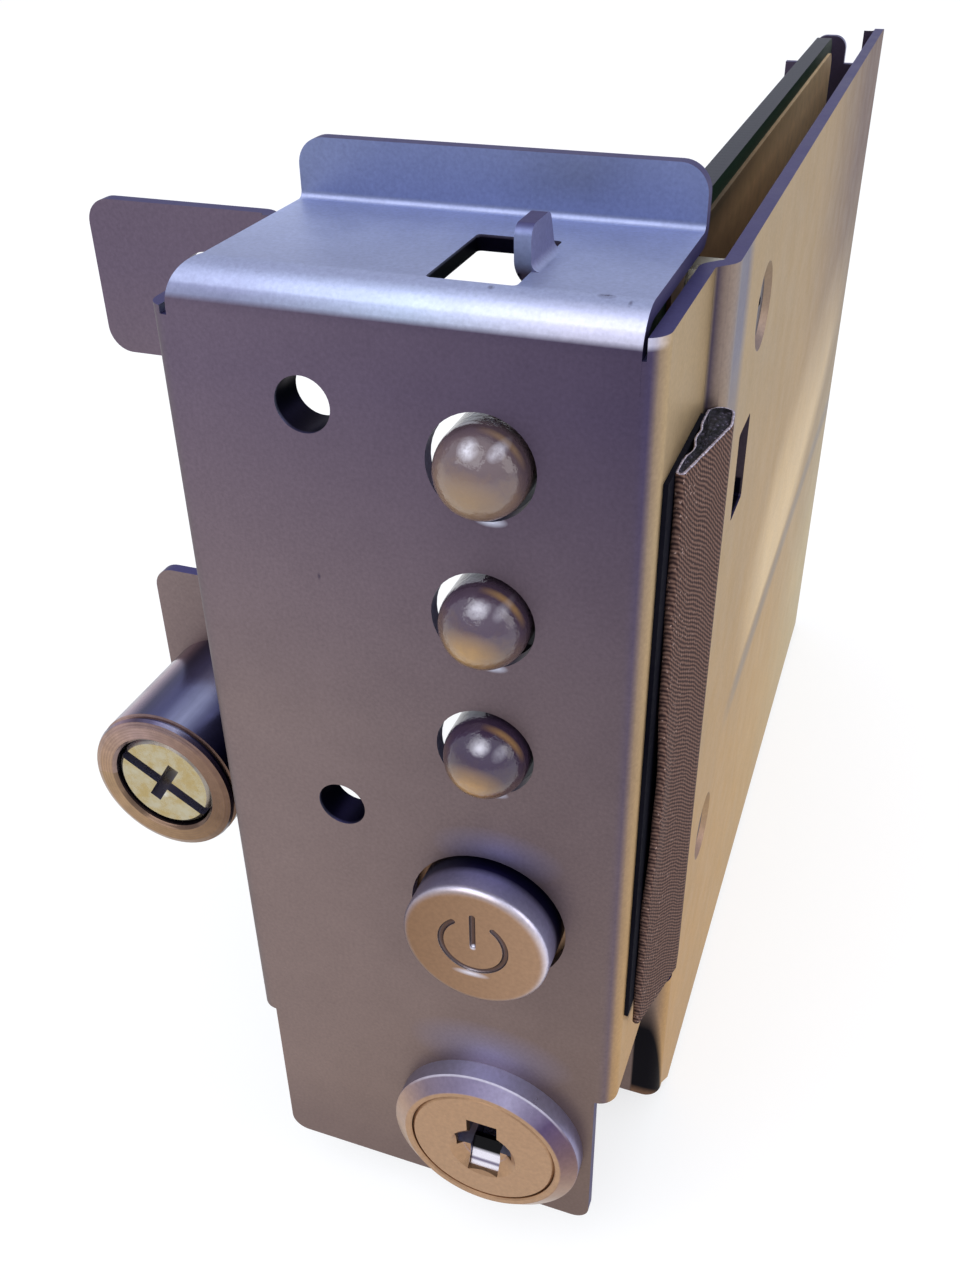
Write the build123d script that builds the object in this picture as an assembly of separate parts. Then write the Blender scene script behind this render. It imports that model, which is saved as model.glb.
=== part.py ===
from build123d import *
import os
from math import cos, degrees, pi, radians, sin, tan

# Server operator panel: a folded sheet bracket that carries the indicators, the power
# button, the key switch and their circuit board, and is held by one captive screw.
# Millimetres. X runs to the right, Y to the rear and Z up. Sizes below are measured from
# the lower left corner of the front plate's outer face. The finished pieces are shifted
# so that the origin is the locating hole's axis at the mounting face.

# Folded sheet
SHEET = 1.0
BEND = 1.5
PLATE_W = 31.0
PLATE_H = 79.5
WALL_BOTTOM = 16.0
WALL_TOP_DROP = 1.25
PLATE_CORNER = 1.5
FLANGE_LEFT = 2.9
FLANGE_GAP = 0.25
TOP_BEND = 2.5
FLANGE_ROOT = 2.0
UPRIGHT_H = 3.85
UPRIGHT_CORNER = 1.8
CORNER_RELIEF = 0.5

# Ears on the left wall
EAR_DEPTH = 15.3
EAR_REACH = 14.3
EAR_CORNER = 1.8
UPPER_EAR_H = 11.2
LOWER_EAR_H = 25.0
LOCATING_HOLE_R = 2.2
LOCATING_HOLE_X = -5.0
LOCATING_HOLE_DROP = 5.25

# Window and finger in the top flange
WINDOW_INSET = 14.1
WINDOW_W = 5.3
WINDOW_Y = 2.3
WINDOW_L = 8.5
WINDOW_CORNER = 0.3
FINGER_FRONT = 4.8
FINGER_L = 4.5
FINGER_TOP_L = 3.5
FINGER_H = 2.45
FINGER_CORNER = 0.8

# Right wall
JOGGLE_Y = 12.6
JOGGLE_OUT = 1.2
WALL_REAR = 109.0
WALL_BELOW = 4.7
WALL_REAR_CORNER = 2.3
WALL_FRONT_CHAMFER = 4.1
RETURN_REACH = 4.2
RETURN_BOTTOM = -0.9
RETURN_Y = 14.4
RETURN_RELIEF = 1.5
RETURN_TAIL = 4.0
SLOT_Y = 21.6
SLOT_W = 4.4
SLOT_DROP = 21.25
SLOT_H = 6.8
REAR_FLANGE_REACH = 11.0
REAR_FLANGE_BOTTOM = 8.0
REAR_FLANGE_DROP = 4.1
TONGUE_INSET = 7.85
TONGUE_W = 3.7
TONGUE_H = 3.0
TONGUE_CORNER = 1.4
NOTCH_W = 1.85

# Controls on the front plate, all on one upright line
CONTROL_INSET = 10.2
LED_DROP = 9.9
LED_PITCH = 10.35
LED_HOLE_R = 3.4
BUTTON_DROP = 15.4
BUTTON_HOLE_R = 5.93
KEY_Z = 8.8

# Extruded holes for the front bezel
BEZEL_HOLE_X = 9.8
BEZEL_HOLE_DROP = 7.5
BEZEL_HOLE_PITCH = 30.7
BEZEL_HOLE_R = 1.8
BEZEL_COLLAR_WALL = 0.55
BEZEL_COLLAR_L = 1.8

# Captive screw
CAPTIVE_X = -8.2
CAPTIVE_Z = 35.5
SLEEVE_R = 6.3
SLEEVE_FRONT = 3.2
SLEEVE_BORE_R = 4.35
SLEEVE_LIP = 0.6
SLEEVE_GROOVE = 0.3
SLEEVE_WALL = 0.7
SLEEVE_REAR_BORE_L = 0.7
SLEEVE_SHANK_R = 5.0
SLEEVE_NECK_GAP = 0.25
SLEEVE_REAR_BORE_R = 2.4
SCREW_HEAD_R = 4.15
SCREW_HEAD_L = 2.5
SCREW_HEAD_RECESS = 0.35
SCREW_NECK_R = 1.5
SCREW_THREAD_R = 2.0
SCREW_THREAD_START = 0.3
SCREW_TIP_PROUD = 2.5
SCREW_SLOT_W = 1.0
SCREW_SLOT_DEPTH = 1.2
SCREW_CROSS_REACH = 2.1
SCREW_CROSS_DEPTH = 1.9
SCREW_SLOT_ANGLE = 32.7
WASHER_T = 0.3
WASHER_R = 4.15
CAPTIVE_WIRE_R = 0.2
CAPTIVE_COIL_R = 2.9
CAPTIVE_TURNS = 4

# Circuit board and what holds it
BOARD_T = 1.6
BOARD_WALL_GAP = 4.5
BOARD_FRONT = 7.6
BOARD_REAR_GAP = 2.6
BOARD_TOP_DROP = 0.7
BOARD_BOTTOM = 19.0
BOARD_CORNER = 2.0
TAIL_H = 20.0
TAIL_RISE = 11.0
TAIL_PROUD = 0.6
TAIL_GAP = 0.2
FILM_T = 0.3
FILM_MARGIN = 1.4
FILM_FRONT = 20.0
FIXING_Y = (26.8, 25.0)
FIXING_DROP = 6.15
FIXING_RISE = 5.4
STANDOFF_R = 2.6
M3_R = 1.45
THREAD_GAP = 0.05
DIMPLE_R = 3.1
DIMPLE_SKIN = 0.75
CSK_GAP = 0.1
PAN_R = 2.75
PAN_H = 1.8
PAN_SHANK_REACH = 1.6
CSK_SINK = 0.45
CSK_SHANK_REACH = 1.8
RECESS_REACH = 1.3
RECESS_HALF = 0.28
RECESS_DEPTH = 0.9
HOLE_GAP = 0.15

# Indicators
PIPE_R = 2.9
PIPE_SHIFT = 0.15
PIPE_DROP = 0.1
PIPE_TAIL_R = 2.3
PIPE_TAIL_L = 2.0
HOLDER_HALF = 3.6
HOLDER_FRONT = 8.2
HOLDER_L = 7.2
HOLDER_GAP = 0.03
HOLDER_WEB = 0.5
LED_R = 1.5
LED_RIM_R = 1.9
LED_RIM_T = 0.8
LED_L = 4.2
LED_GAP = 0.1
LEAD = 0.5
LEAD_PITCH = 2.54
LEAD_REACH = 1.4
LEAD_PROUD = 1.0
LEAD_HOLE_R = 0.45

# Power button and switch
BUTTON_R = 5.5
BUTTON_PROUD = 3.1
BUTTON_TRAVEL = 2.0
BUTTON_SKIN = 1.2
BUTTON_WALL = 1.1
BUTTON_RIM = 1.1
BUTTON_RIM_T = 1.2
BUTTON_BOSS_L = 4.8
SYMBOL_R = 2.45
SYMBOL_GROOVE_R = 0.23
SYMBOL_RISE = 0.3
SYMBOL_OPENING = 38.0
SYMBOL_STEM_PROUD = 0.35
BUTTON_PLATE_GAP = 0.3
BUTTON_EDGE = 0.6
BUTTON_BOSS_R = 2.2
PLUNGER = 2.4
PLUNGER_FRONT = 1.0
PLUNGER_REAR = 13.0
PLUNGER_GAP = 0.08
SWITCH_HALF = 4.3
SWITCH_FRONT = 9.0
SWITCH_L = 9.0
NECK_R = 2.7
NECK_L = 2.0
SWITCH_PIN = 0.8
SPRING_WIRE_R = 0.2
SPRING_COIL_R = 3.4
SPRING_TURNS = 5
COIL_STEPS = 18
COIL_SIDES = 6
COIL_CLOSED_GAP = 1.15

# Key switch
BEZEL_R = 8.0
BEZEL_T = 2.3
BEZEL_BEVEL_W = 1.2
BEZEL_BEVEL_H = 0.85
BEZEL_LIP = 0.12
PLUG_FACE_R = 6.2
PLUG_FACE_T = 1.2
PLUG_EDGE = 0.2
PLUG_RECESS = 0.08
PLUG_R = 4.4
RUN_GAP = 0.05
BARREL_R = 5.95
BARREL_L = 21.0
BARREL_FLAT = 5.2
BARREL_HOLE_GAP = 0.1
KEYWAY_W = 2.6
KEYWAY_H = 6.6
KEYWAY_ARM_W = 4.8
KEYWAY_ARM_H = 2.0
KEYWAY_DEPTH = 9.0
KEYWAY_LEAD_R = 2.9
KEYWAY_LEAD_BOTTOM_R = 1.9
KEYWAY_LEAD_DEPTH = 0.8
KEYWAY_LEAD_DROP = 0.7
SHUTTER_T = 0.4
SHUTTER_DEPTH = 0.55
SHUTTER_TILT = 25.0
SHUTTER_DROP = 0.9
NUT_AF = 14.5
NUT_T = 2.5
LOCK_WASHER_T = 0.6
LOCK_WASHER_R = 7.8
BLOCK_R = 6.2
BLOCK_L = 8.0
TERMINAL_W = 2.8
TERMINAL_T = 0.5
TERMINAL_L = 6.0
TERMINAL_SPREAD = 2.6
TERMINAL_EYE_R = 0.6
TERMINAL_EYE_BACK = 2.0
PLUG_TAIL_L = 1.0

# Gasket on the right wall
TAPE_FRONT = 1.7
TAPE_W = 10.2
TAPE_T = 0.3
TAPE_RISE = 4.0
GASKET_BOTTOM = 21.0
GASKET_TOP_DROP = 8.85
GASKET_TIP_Y = 3.2
GASKET_TIP_R = 0.35
GASKET_BULB_R = 1.0
GASKET_BULB_BACK = 6.9
GASKET_REAR_R = 0.75
GASKET_W = 10.1
FABRIC_T = 0.25

# Board parts
HEADER_FROM_REAR = 19.4
HEADER_RISE = 15.0
HEADER_W = 8.8
HEADER_L = 25.4
HEADER_H = 9.0
HEADER_WALL = 1.1
HEADER_FLOOR = 2.4
HEADER_KEY = 4.5
PIN = 0.64
PIN_PITCH = 2.54
PIN_ROWS = 2
PIN_COLUMNS = 8
PIN_L = 8.0
CHIP_BACK = 42.4
CHIP_RISE = 25.0
CHIP_W = 7.5
CHIP_L = 10.3
CHIP_H = 2.3
CHIP_LEGS = 8
CHIP_PITCH = 1.27
LEG_W = 0.42
LEG_REACH = 1.3
RESISTOR_BACK = 11.4
RESISTOR_L = 3.2
RESISTOR_W = 1.6
RESISTOR_H = 0.6
CAN_BACK = 60.4
CAN_RISE = 39.0
CAN_R = 4.0
CAN_H = 6.2
CAN_BASE = 8.3
CAN_BASE_T = 1.0
CAN_EDGE = 0.4
CAN_GROOVE_X = 1.3
CAN_GROOVE_HALF = 0.3
CAN_GROOVE_DEPTH = 0.35

# Places worked out from the sizes above
WALL_TOP = PLATE_H - WALL_TOP_DROP
INNER_BEND = BEND - SHEET
MOUNT_Y = EAR_DEPTH + SHEET
JOGGLE_END = JOGGLE_Y + JOGGLE_OUT
WALL_X = PLATE_W + JOGGLE_OUT
WALL_INNER = WALL_X - SHEET
FLANGE_RIGHT = PLATE_W - SHEET - FLANGE_GAP
UPPER_EAR_BOTTOM = WALL_TOP - UPPER_EAR_H
LOWER_EAR_BOTTOM = CAPTIVE_Z - LOWER_EAR_H / 2
LOCATING_HOLE_Z = WALL_TOP - LOCATING_HOLE_DROP
FILM_X = WALL_INNER - BOARD_WALL_GAP
BOARD_RIGHT = FILM_X
BOARD_X = BOARD_RIGHT - BOARD_T
BOARD_TOP = WALL_TOP - BOARD_TOP_DROP
BOARD_REAR = WALL_REAR - SHEET - BOARD_REAR_GAP
FIXING_Z = (BOARD_TOP - FIXING_DROP, BOARD_BOTTOM + FIXING_RISE)
TAIL_Z = BOARD_BOTTOM + TAIL_RISE
WINDOW_X = PLATE_W - WINDOW_INSET
SLOT_Z = WALL_TOP - SLOT_DROP
TONGUE_LEFT = WALL_X - TONGUE_INSET
DIMPLE_DEPTH = DIMPLE_R - M3_R - CSK_GAP
BOSS_X = WALL_X - DIMPLE_DEPTH
CONTROL_X = PLATE_W - CONTROL_INSET
LED_HEIGHTS = [PLATE_H - LED_DROP - i * LED_PITCH for i in range(3)]
PIPE_X = CONTROL_X + PIPE_SHIFT
PIPE_HEIGHTS = [z - PIPE_DROP for z in LED_HEIGHTS]
BUTTON_Z = LED_HEIGHTS[-1] - BUTTON_DROP
BEZEL_HOLE_HEIGHTS = [PLATE_H - BEZEL_HOLE_DROP - i * BEZEL_HOLE_PITCH for i in range(2)]
PLUG_FACE = PLUG_RECESS - BEZEL_T
GASKET_TOP = WALL_TOP - GASKET_TOP_DROP
HEADER_Y = BOARD_REAR - HEADER_FROM_REAR
HEADER_Z = BOARD_BOTTOM + HEADER_RISE
CHIP_Y = BOARD_FRONT + CHIP_BACK
CHIP_Z = BOARD_BOTTOM + CHIP_RISE
RESISTOR_Y = BOARD_FRONT + RESISTOR_BACK
CAN_Y = BOARD_FRONT + CAN_BACK
CAN_Z = BOARD_BOTTOM + CAN_RISE
LED_NAMES = ("upper", "middle", "lower")
DATUM = (LOCATING_HOLE_X, MOUNT_Y, LOCATING_HOLE_Z)


def block(x0, x1, y0, y1, z0, z1):
    """A box between two corners."""
    return Box(x1 - x0, y1 - y0, z1 - z0, align=(Align.MIN,) * 3).moved(Location((x0, y0, z0)))


def rod(x, z, r, y0, y1):
    """A round bar along Y."""
    plane = Plane(origin=(x, y0, z), x_dir=(1, 0, 0), z_dir=(0, 1, 0))
    return extrude(plane * Circle(r), y1 - y0)


def bar(y, z, r, x0, x1):
    """A round bar along X."""
    plane = Plane(origin=(x0, y, z), x_dir=(0, 1, 0), z_dir=(1, 0, 0))
    return extrude(plane * Circle(r), x1 - x0)


def turned(x, z, outline):
    """A solid turned about an axis along Y, from (radius, y) corners."""
    ring = make_face(Polyline(*[(r, y) for r, y in outline], close=True))
    return revolve(ring, Axis.Y).moved(Location((x, 0, z)))


def turned_x(y, z, outline):
    """A solid turned about an axis along X, from (x, radius) corners."""
    ring = make_face(Polyline(*[(x, r) for x, r in outline], close=True))
    return revolve(ring, Axis.X).moved(Location((0, y, z)))


def strip(points, radii, z0, z1):
    """A folded strip of sheet seen from above; the sheet lies left of its outer line."""
    outer = FilletPolyline(*points, radius=radii)
    section = make_face(offset(outer, amount=SHEET, side=Side.LEFT, closed=True))
    return extrude(section, z1 - z0).moved(Location((0, 0, z0)))


def side_view(points, x0, x1):
    """A prism along X from (y, z) corners."""
    plane = Plane(origin=(x0, 0, 0), x_dir=(0, 1, 0), z_dir=(1, 0, 0))
    return extrude(plane * make_face(Polyline(*points, close=True)), x1 - x0)


def rounded_block(x0, x1, y0, y1, z0, z1, axis, corner):
    """A box with the four edges along one axis rounded."""
    solid = block(x0, x1, y0, y1, z0, z1)
    return fillet(solid.edges().filter_by(axis), corner)


def coil_spring(x, z, y0, y1, coil_r, wire_r, turns):
    """A coil spring along Y between two seats, with one closed turn at each end."""
    length = y1 - y0 - 2 * wire_r
    closed = 2 * wire_r * COIL_CLOSED_GAP
    pitch = (length - 2 * closed) / turns
    heights = [0, closed] + [closed + pitch * (i + 1) for i in range(turns)] + [length]
    points = []
    for i in range((turns + 2) * COIL_STEPS + 1):
        turn, part = divmod(i, COIL_STEPS)
        rise = heights[min(turn + 1, turns + 2)] - heights[turn]
        angle = 2 * pi * i / COIL_STEPS
        height = heights[turn] + rise * part / COIL_STEPS
        points.append((coil_r * cos(angle), coil_r * sin(angle), height))
    path = Polyline(*points)
    section = Plane(origin=path @ 0, z_dir=path % 0) * RegularPolygon(wire_r, COIL_SIDES)
    coil = sweep(section, path=path, transition=Transition.RIGHT)
    return coil.rotate(Axis.X, -90).moved(Location((x, y0 + wire_r, z)))


def wall_strip():
    """Ears, side walls, front plate and rear flange, folded as one strip of even height."""
    corners = [
        (-EAR_REACH, EAR_DEPTH), (0, EAR_DEPTH), (0, 0), (PLATE_W, 0),
        (PLATE_W, JOGGLE_Y), (WALL_X, JOGGLE_END), (WALL_X, WALL_REAR),
        (WALL_X - REAR_FLANGE_REACH, WALL_REAR),
    ]
    radii = [INNER_BEND, BEND, BEND, INNER_BEND, BEND, BEND]
    return strip(corners, radii, -WALL_BELOW, WALL_TOP)


def trim_walls(solid):
    """Cut the folded strip to each wall's own outline."""
    low, high = -WALL_BELOW - 1, WALL_TOP + 1
    tangent = EAR_DEPTH - INNER_BEND
    front = RETURN_Y + BEND
    solid -= block(-EAR_REACH - 1, BEND, -1, MOUNT_Y + 1, low, WALL_BOTTOM)
    solid -= block(BEND, PLATE_W - BEND, -1, SHEET + 1, low, WALL_BOTTOM)
    solid -= block(PLATE_W - BEND, WALL_X + 1, -1, front, low, WALL_BOTTOM)
    bend_top = PLATE_H - TOP_BEND
    solid -= block(BEND, FLANGE_RIGHT, -1, SHEET + 1, bend_top, high)
    solid -= block(-1, BEND, -1, tangent, bend_top, high)
    solid -= block(BEND - CORNER_RELIEF, BEND, -1, BEND, bend_top - CORNER_RELIEF, high)
    solid -= block(FLANGE_RIGHT, PLATE_W - SHEET, -1, BEND, bend_top, high)
    gap_low, gap_high = LOWER_EAR_BOTTOM + LOWER_EAR_H, UPPER_EAR_BOTTOM
    solid -= block(-EAR_REACH - 1, SHEET + 1, tangent, MOUNT_Y + 1, gap_low, gap_high)
    solid -= block(-EAR_REACH - 1, SHEET + 1, tangent, MOUNT_Y + 1, low, LOWER_EAR_BOTTOM)
    chamfer = [
        (front - 1, RETURN_BOTTOM + 0.4), (front, RETURN_BOTTOM + 0.4),
        (front + WALL_FRONT_CHAMFER, -WALL_BELOW), (front + WALL_FRONT_CHAMFER, low),
        (front - 1, low),
    ]
    solid -= side_view(chamfer, WALL_INNER - 1, WALL_X + 1)
    return solid


def round_ears(solid):
    """Round the free corners of both ears and pierce the two mounting holes."""
    outer = solid.edges().filter_by(Axis.Y).group_by(Axis.X)[0]
    solid = fillet(outer, EAR_CORNER)
    solid -= rod(LOCATING_HOLE_X, LOCATING_HOLE_Z, LOCATING_HOLE_R, EAR_DEPTH - 1, MOUNT_Y + 1)
    solid -= rod(CAPTIVE_X, CAPTIVE_Z, SLEEVE_SHANK_R, EAR_DEPTH - 1, MOUNT_Y + 1)
    return solid


def rear_flange_cut():
    """What is taken off the rear flange around its tongue, with the board's slot."""
    floor = WALL_TOP - REAR_FLANGE_DROP
    left = WALL_X - REAR_FLANGE_REACH - 1
    y0, y1 = WALL_REAR - BEND - 0.5, WALL_REAR + 1
    notch_right = TONGUE_LEFT + TONGUE_W + NOTCH_W
    cut = block(left, notch_right, y0, y1, floor, WALL_TOP + 1)
    cut += block(left, WALL_X - BEND, y0, y1, -WALL_BELOW - 1, REAR_FLANGE_BOTTOM)
    corner_y, corner_z = WALL_REAR - WALL_REAR_CORNER, WALL_TOP - WALL_REAR_CORNER
    corner = block(notch_right, WALL_X + 1, corner_y, y1, corner_z, WALL_TOP + 1)
    corner -= bar(corner_y, corner_z, WALL_REAR_CORNER, notch_right - 1, WALL_X + 2)
    slot = block(BOARD_X - TAIL_GAP, BOARD_RIGHT + TAIL_GAP, y0, y1,
                 TAIL_Z - TAIL_GAP, TAIL_Z + TAIL_H + TAIL_GAP)
    return [cut, corner, slot]


def tongue():
    """The rounded tongue that stands above the rear flange."""
    floor = WALL_TOP - REAR_FLANGE_DROP
    tab = block(TONGUE_LEFT, TONGUE_LEFT + TONGUE_W, WALL_REAR - SHEET, WALL_REAR,
                floor - 1, floor + TONGUE_H)
    return fillet(tab.edges().filter_by(Axis.Y).group_by(Axis.Z)[-1], TONGUE_CORNER)


def lower_tab():
    """The front plate's lower end, below the side walls."""
    tab = block(BEND, PLATE_W - BEND, 0, SHEET, 0, WALL_BOTTOM + 1)
    return fillet(tab.edges().filter_by(Axis.Y).group_by(Axis.Z)[0], PLATE_CORNER)


def return_flange():
    """The short flange folded inward below the right wall's joggle."""
    corners = [(WALL_X - RETURN_REACH, RETURN_Y), (WALL_X, RETURN_Y), (WALL_X, RETURN_Y + RETURN_TAIL)]
    return strip(corners, [BEND], RETURN_BOTTOM, WALL_BOTTOM - RETURN_RELIEF)


def top_flange():
    """Top bend, flange and upright tab, with the tapered left end and the window."""
    corners = [
        (0, PLATE_H - TOP_BEND - FLANGE_ROOT), (0, PLATE_H), (EAR_DEPTH, PLATE_H),
        (EAR_DEPTH, PLATE_H + UPRIGHT_H),
    ]
    plane = Plane(origin=(BEND, 0, 0), x_dir=(0, 1, 0), z_dir=(1, 0, 0))
    line = FilletPolyline(*corners, radius=[TOP_BEND, INNER_BEND])
    section = make_face(offset(line, amount=SHEET, side=Side.RIGHT, closed=True))
    flange = extrude(plane * section, FLANGE_RIGHT - BEND)
    taper = make_face(Polyline(
        (BEND - 1, -1), (BEND, 0), (FLANGE_LEFT, TOP_BEND), (FLANGE_LEFT, MOUNT_Y + 1),
        (BEND - 1, MOUNT_Y + 1), close=True))
    flange -= extrude(Plane.XY.offset(PLATE_H - TOP_BEND) * taper, UPRIGHT_H + TOP_BEND + 1)
    flange = fillet(flange.edges().filter_by(Axis.Y).group_by(Axis.Z)[-1], UPRIGHT_CORNER)
    window = rounded_block(WINDOW_X, WINDOW_X + WINDOW_W, WINDOW_Y, WINDOW_Y + WINDOW_L,
                           PLATE_H - SHEET - 1, PLATE_H + 1, Axis.Z, WINDOW_CORNER)
    return flange - window


def finger():
    """The finger lanced from the window and bent up at its right edge."""
    left = WINDOW_X + WINDOW_W - SHEET
    low, top = PLATE_H - SHEET, PLATE_H + FINGER_H
    plane = Plane(origin=(0, FINGER_FRONT, 0), x_dir=(1, 0, 0), z_dir=(0, -1, 0))
    line = FilletPolyline((left, top), (left, low), (left + BEND + 1, low), radius=[BEND])
    section = make_face(offset(line, amount=SHEET, side=Side.LEFT, closed=True))
    solid = extrude(plane * section, -FINGER_L)
    rear = FINGER_FRONT + FINGER_L
    slant = side_view([(FINGER_FRONT + FINGER_TOP_L, top), (rear, PLATE_H), (rear + 1, PLATE_H),
                       (rear + 1, top + 1), (FINGER_FRONT + FINGER_TOP_L, top + 1)],
                      left - 1, left + SHEET + 0.5)
    solid -= slant
    crest = solid.edges().filter_by(Axis.X).group_by(Axis.Z)[-1]
    return fillet(crest, FINGER_CORNER)


def key_hole(r, flat):
    """A round hole through the front plate with two flats across X."""
    hole = rod(CONTROL_X, KEY_Z, r, -1, SHEET + 1)
    return hole & block(CONTROL_X - flat, CONTROL_X + flat, -2, SHEET + 2, KEY_Z - r, KEY_Z + r)


def plate_holes():
    """Cutters for the indicators, the button and the key switch."""
    cuts = [rod(CONTROL_X, z, LED_HOLE_R, -1, SHEET + 1) for z in LED_HEIGHTS]
    cuts.append(rod(CONTROL_X, BUTTON_Z, BUTTON_HOLE_R, -1, SHEET + 1))
    cuts.append(key_hole(BARREL_R + BARREL_HOLE_GAP, BARREL_FLAT + BARREL_HOLE_GAP))
    return cuts


def bezel_collars(solid):
    """Two extruded holes with collars drawn out behind the front plate."""
    for z in BEZEL_HOLE_HEIGHTS:
        solid += rod(BEZEL_HOLE_X, z, BEZEL_HOLE_R + BEZEL_COLLAR_WALL,
                     SHEET / 2, SHEET + BEZEL_COLLAR_L)
        solid -= rod(BEZEL_HOLE_X, z, BEZEL_HOLE_R, -1, SHEET + BEZEL_COLLAR_L + 1)
    return solid


def dimples(solid):
    """Pressed dimples in the right wall that take the countersunk screws flush."""
    for y, z in zip(FIXING_Y, FIXING_Z):
        skin = DIMPLE_R + DIMPLE_SKIN
        solid += turned_x(y, z, [(WALL_INNER + 0.2, 0), (WALL_INNER + 0.2, skin),
                                 (WALL_INNER, skin), (BOSS_X, STANDOFF_R), (BOSS_X, 0)])
        solid -= turned_x(y, z, [(WALL_X + 1, 0), (WALL_X + 1, DIMPLE_R + 1),
                                 (BOSS_X, DIMPLE_R - DIMPLE_DEPTH), (BOSS_X - 1, M3_R + CSK_GAP),
                                 (BOSS_X - 1, 0)])
    return solid


def bracket():
    """The whole folded sheet as one solid."""
    solid = round_ears(trim_walls(wall_strip()))
    for cut in rear_flange_cut():
        solid -= cut
    solid = solid + tongue() + lower_tab() + return_flange() + top_flange() + finger()
    for cut in plate_holes():
        solid -= cut
    solid = dimples(bezel_collars(solid))
    slot = rounded_block(WALL_INNER - 1, WALL_X + 1, SLOT_Y, SLOT_Y + SLOT_W,
                         SLOT_Z, SLOT_Z + SLOT_H, Axis.X, WINDOW_CORNER)
    return solid - slot


def light_pipe(z):
    """Domed light pipe whose tail sits in its holder."""
    shoulder = HOLDER_FRONT
    dome = Pos(PIPE_X, 0, z) * Sphere(PIPE_R)
    dome &= block(PIPE_X - PIPE_R, PIPE_X + PIPE_R, -PIPE_R, 0, z - PIPE_R, z + PIPE_R)
    solid = dome + rod(PIPE_X, z, PIPE_R, 0, shoulder)
    return solid + rod(PIPE_X, z, PIPE_TAIL_R, shoulder, shoulder + PIPE_TAIL_L)


LED_FRONT = HOLDER_FRONT + PIPE_TAIL_L + HOLDER_WEB
LED_REAR = LED_FRONT + LED_L


def led_holder(z):
    """Holder on the board for one light pipe and its lamp."""
    solid = rounded_block(PIPE_X - HOLDER_HALF, BOARD_X, HOLDER_FRONT, HOLDER_FRONT + HOLDER_L,
                          z - HOLDER_HALF, z + HOLDER_HALF, Axis.Y, 0.4)
    solid -= rod(PIPE_X, z, PIPE_TAIL_R + HOLDER_GAP, HOLDER_FRONT - 1,
                 HOLDER_FRONT + PIPE_TAIL_L)
    solid -= rod(PIPE_X, z, LED_R + LED_GAP, HOLDER_FRONT, LED_REAR)
    return solid - rod(PIPE_X, z, LED_RIM_R + LED_GAP, LED_REAR - LED_RIM_T,
                       HOLDER_FRONT + HOLDER_L + 1)


def led(z):
    """Lamp with a rim and two leads bent over to the board."""
    body = rod(PIPE_X, z, LED_R, LED_FRONT + LED_R, LED_REAR)
    body += Pos(PIPE_X, LED_FRONT + LED_R, z) * Sphere(LED_R)
    body += rod(PIPE_X, z, LED_RIM_R, LED_REAR - LED_RIM_T, LED_REAR)
    for side in (-1, 1):
        centre = z + side * LEAD_PITCH / 2
        z0, z1 = centre - LEAD / 2, centre + LEAD / 2
        y1 = LED_REAR + LEAD_REACH
        body += block(PIPE_X - LEAD / 2, PIPE_X + LEAD / 2, LED_REAR - 0.2, y1, z0, z1)
        body += block(PIPE_X - LEAD / 2, BOARD_RIGHT + LEAD_PROUD, y1 - LEAD, y1, z0, z1)
    return body


def board_outline():
    """The board with its tail that reaches through the rear flange."""
    board = block(BOARD_X, BOARD_RIGHT, BOARD_FRONT, BOARD_REAR, BOARD_BOTTOM, BOARD_TOP)
    board = fillet(board.edges().filter_by(Axis.X), BOARD_CORNER)
    return board + block(BOARD_X, BOARD_RIGHT, BOARD_REAR - 1, WALL_REAR + TAIL_PROUD,
                         TAIL_Z, TAIL_Z + TAIL_H)


def lead_places():
    """Where leads pass through the board, as (y, z) pairs."""
    y = LED_REAR + LEAD_REACH - LEAD / 2
    return [(y, z + side * LEAD_PITCH / 2) for z in PIPE_HEIGHTS for side in (-1, 1)]


def switch_pin_places():
    """The power switch's four pins."""
    middle = SWITCH_FRONT + SWITCH_L / 2
    return [(middle + i * LEAD_PITCH, BUTTON_Z + j * LEAD_PITCH) for i in (-1, 1) for j in (-1, 1)]


def header_pin_places():
    """The header's pins, as (y, z) pairs."""
    rows = [(i - (PIN_ROWS - 1) / 2) * PIN_PITCH for i in range(PIN_ROWS)]
    columns = [(i - (PIN_COLUMNS - 1) / 2) * PIN_PITCH for i in range(PIN_COLUMNS)]
    return [(HEADER_Y + y, HEADER_Z + z) for y in rows for z in columns]


def circuit_board():
    """The board with every hole that a lead, a pin or a screw goes through."""
    board = board_outline()
    x0, x1 = BOARD_X - 1, BOARD_RIGHT + 1
    for y, z in lead_places():
        board -= bar(y, z, LEAD_HOLE_R, x0, x1)
    for y, z in switch_pin_places():
        board -= bar(y, z, SWITCH_PIN * 0.5 + HOLE_GAP, x0, x1)
    for y, z in header_pin_places():
        board -= bar(y, z, PIN * 0.5 + HOLE_GAP, x0, x1)
    for y, z in zip(FIXING_Y, FIXING_Z):
        board -= bar(y, z, M3_R + HOLE_GAP, x0, x1)
    return board


def insulator_sheet():
    """Thin film between the board and the wall, open at the header and the fixings."""
    x0, x1 = BOARD_RIGHT, BOARD_RIGHT + FILM_T
    film = block(x0, x1, FILM_FRONT, BOARD_REAR - FILM_MARGIN,
                 BOARD_BOTTOM + FILM_MARGIN, BOARD_TOP - FILM_MARGIN)
    film = fillet(film.edges().filter_by(Axis.X), BOARD_CORNER)
    half_y, half_z = PIN_PITCH * 1.2, PIN_PITCH * (PIN_COLUMNS / 2 + 0.3)
    film -= block(x0 - 1, x1 + 1, HEADER_Y - half_y, HEADER_Y + half_y,
                  HEADER_Z - half_z, HEADER_Z + half_z)
    for y, z in zip(FIXING_Y, FIXING_Z):
        film -= bar(y, z, STANDOFF_R + 0.8, x0 - 1, x1 + 1)
    return film


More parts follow.
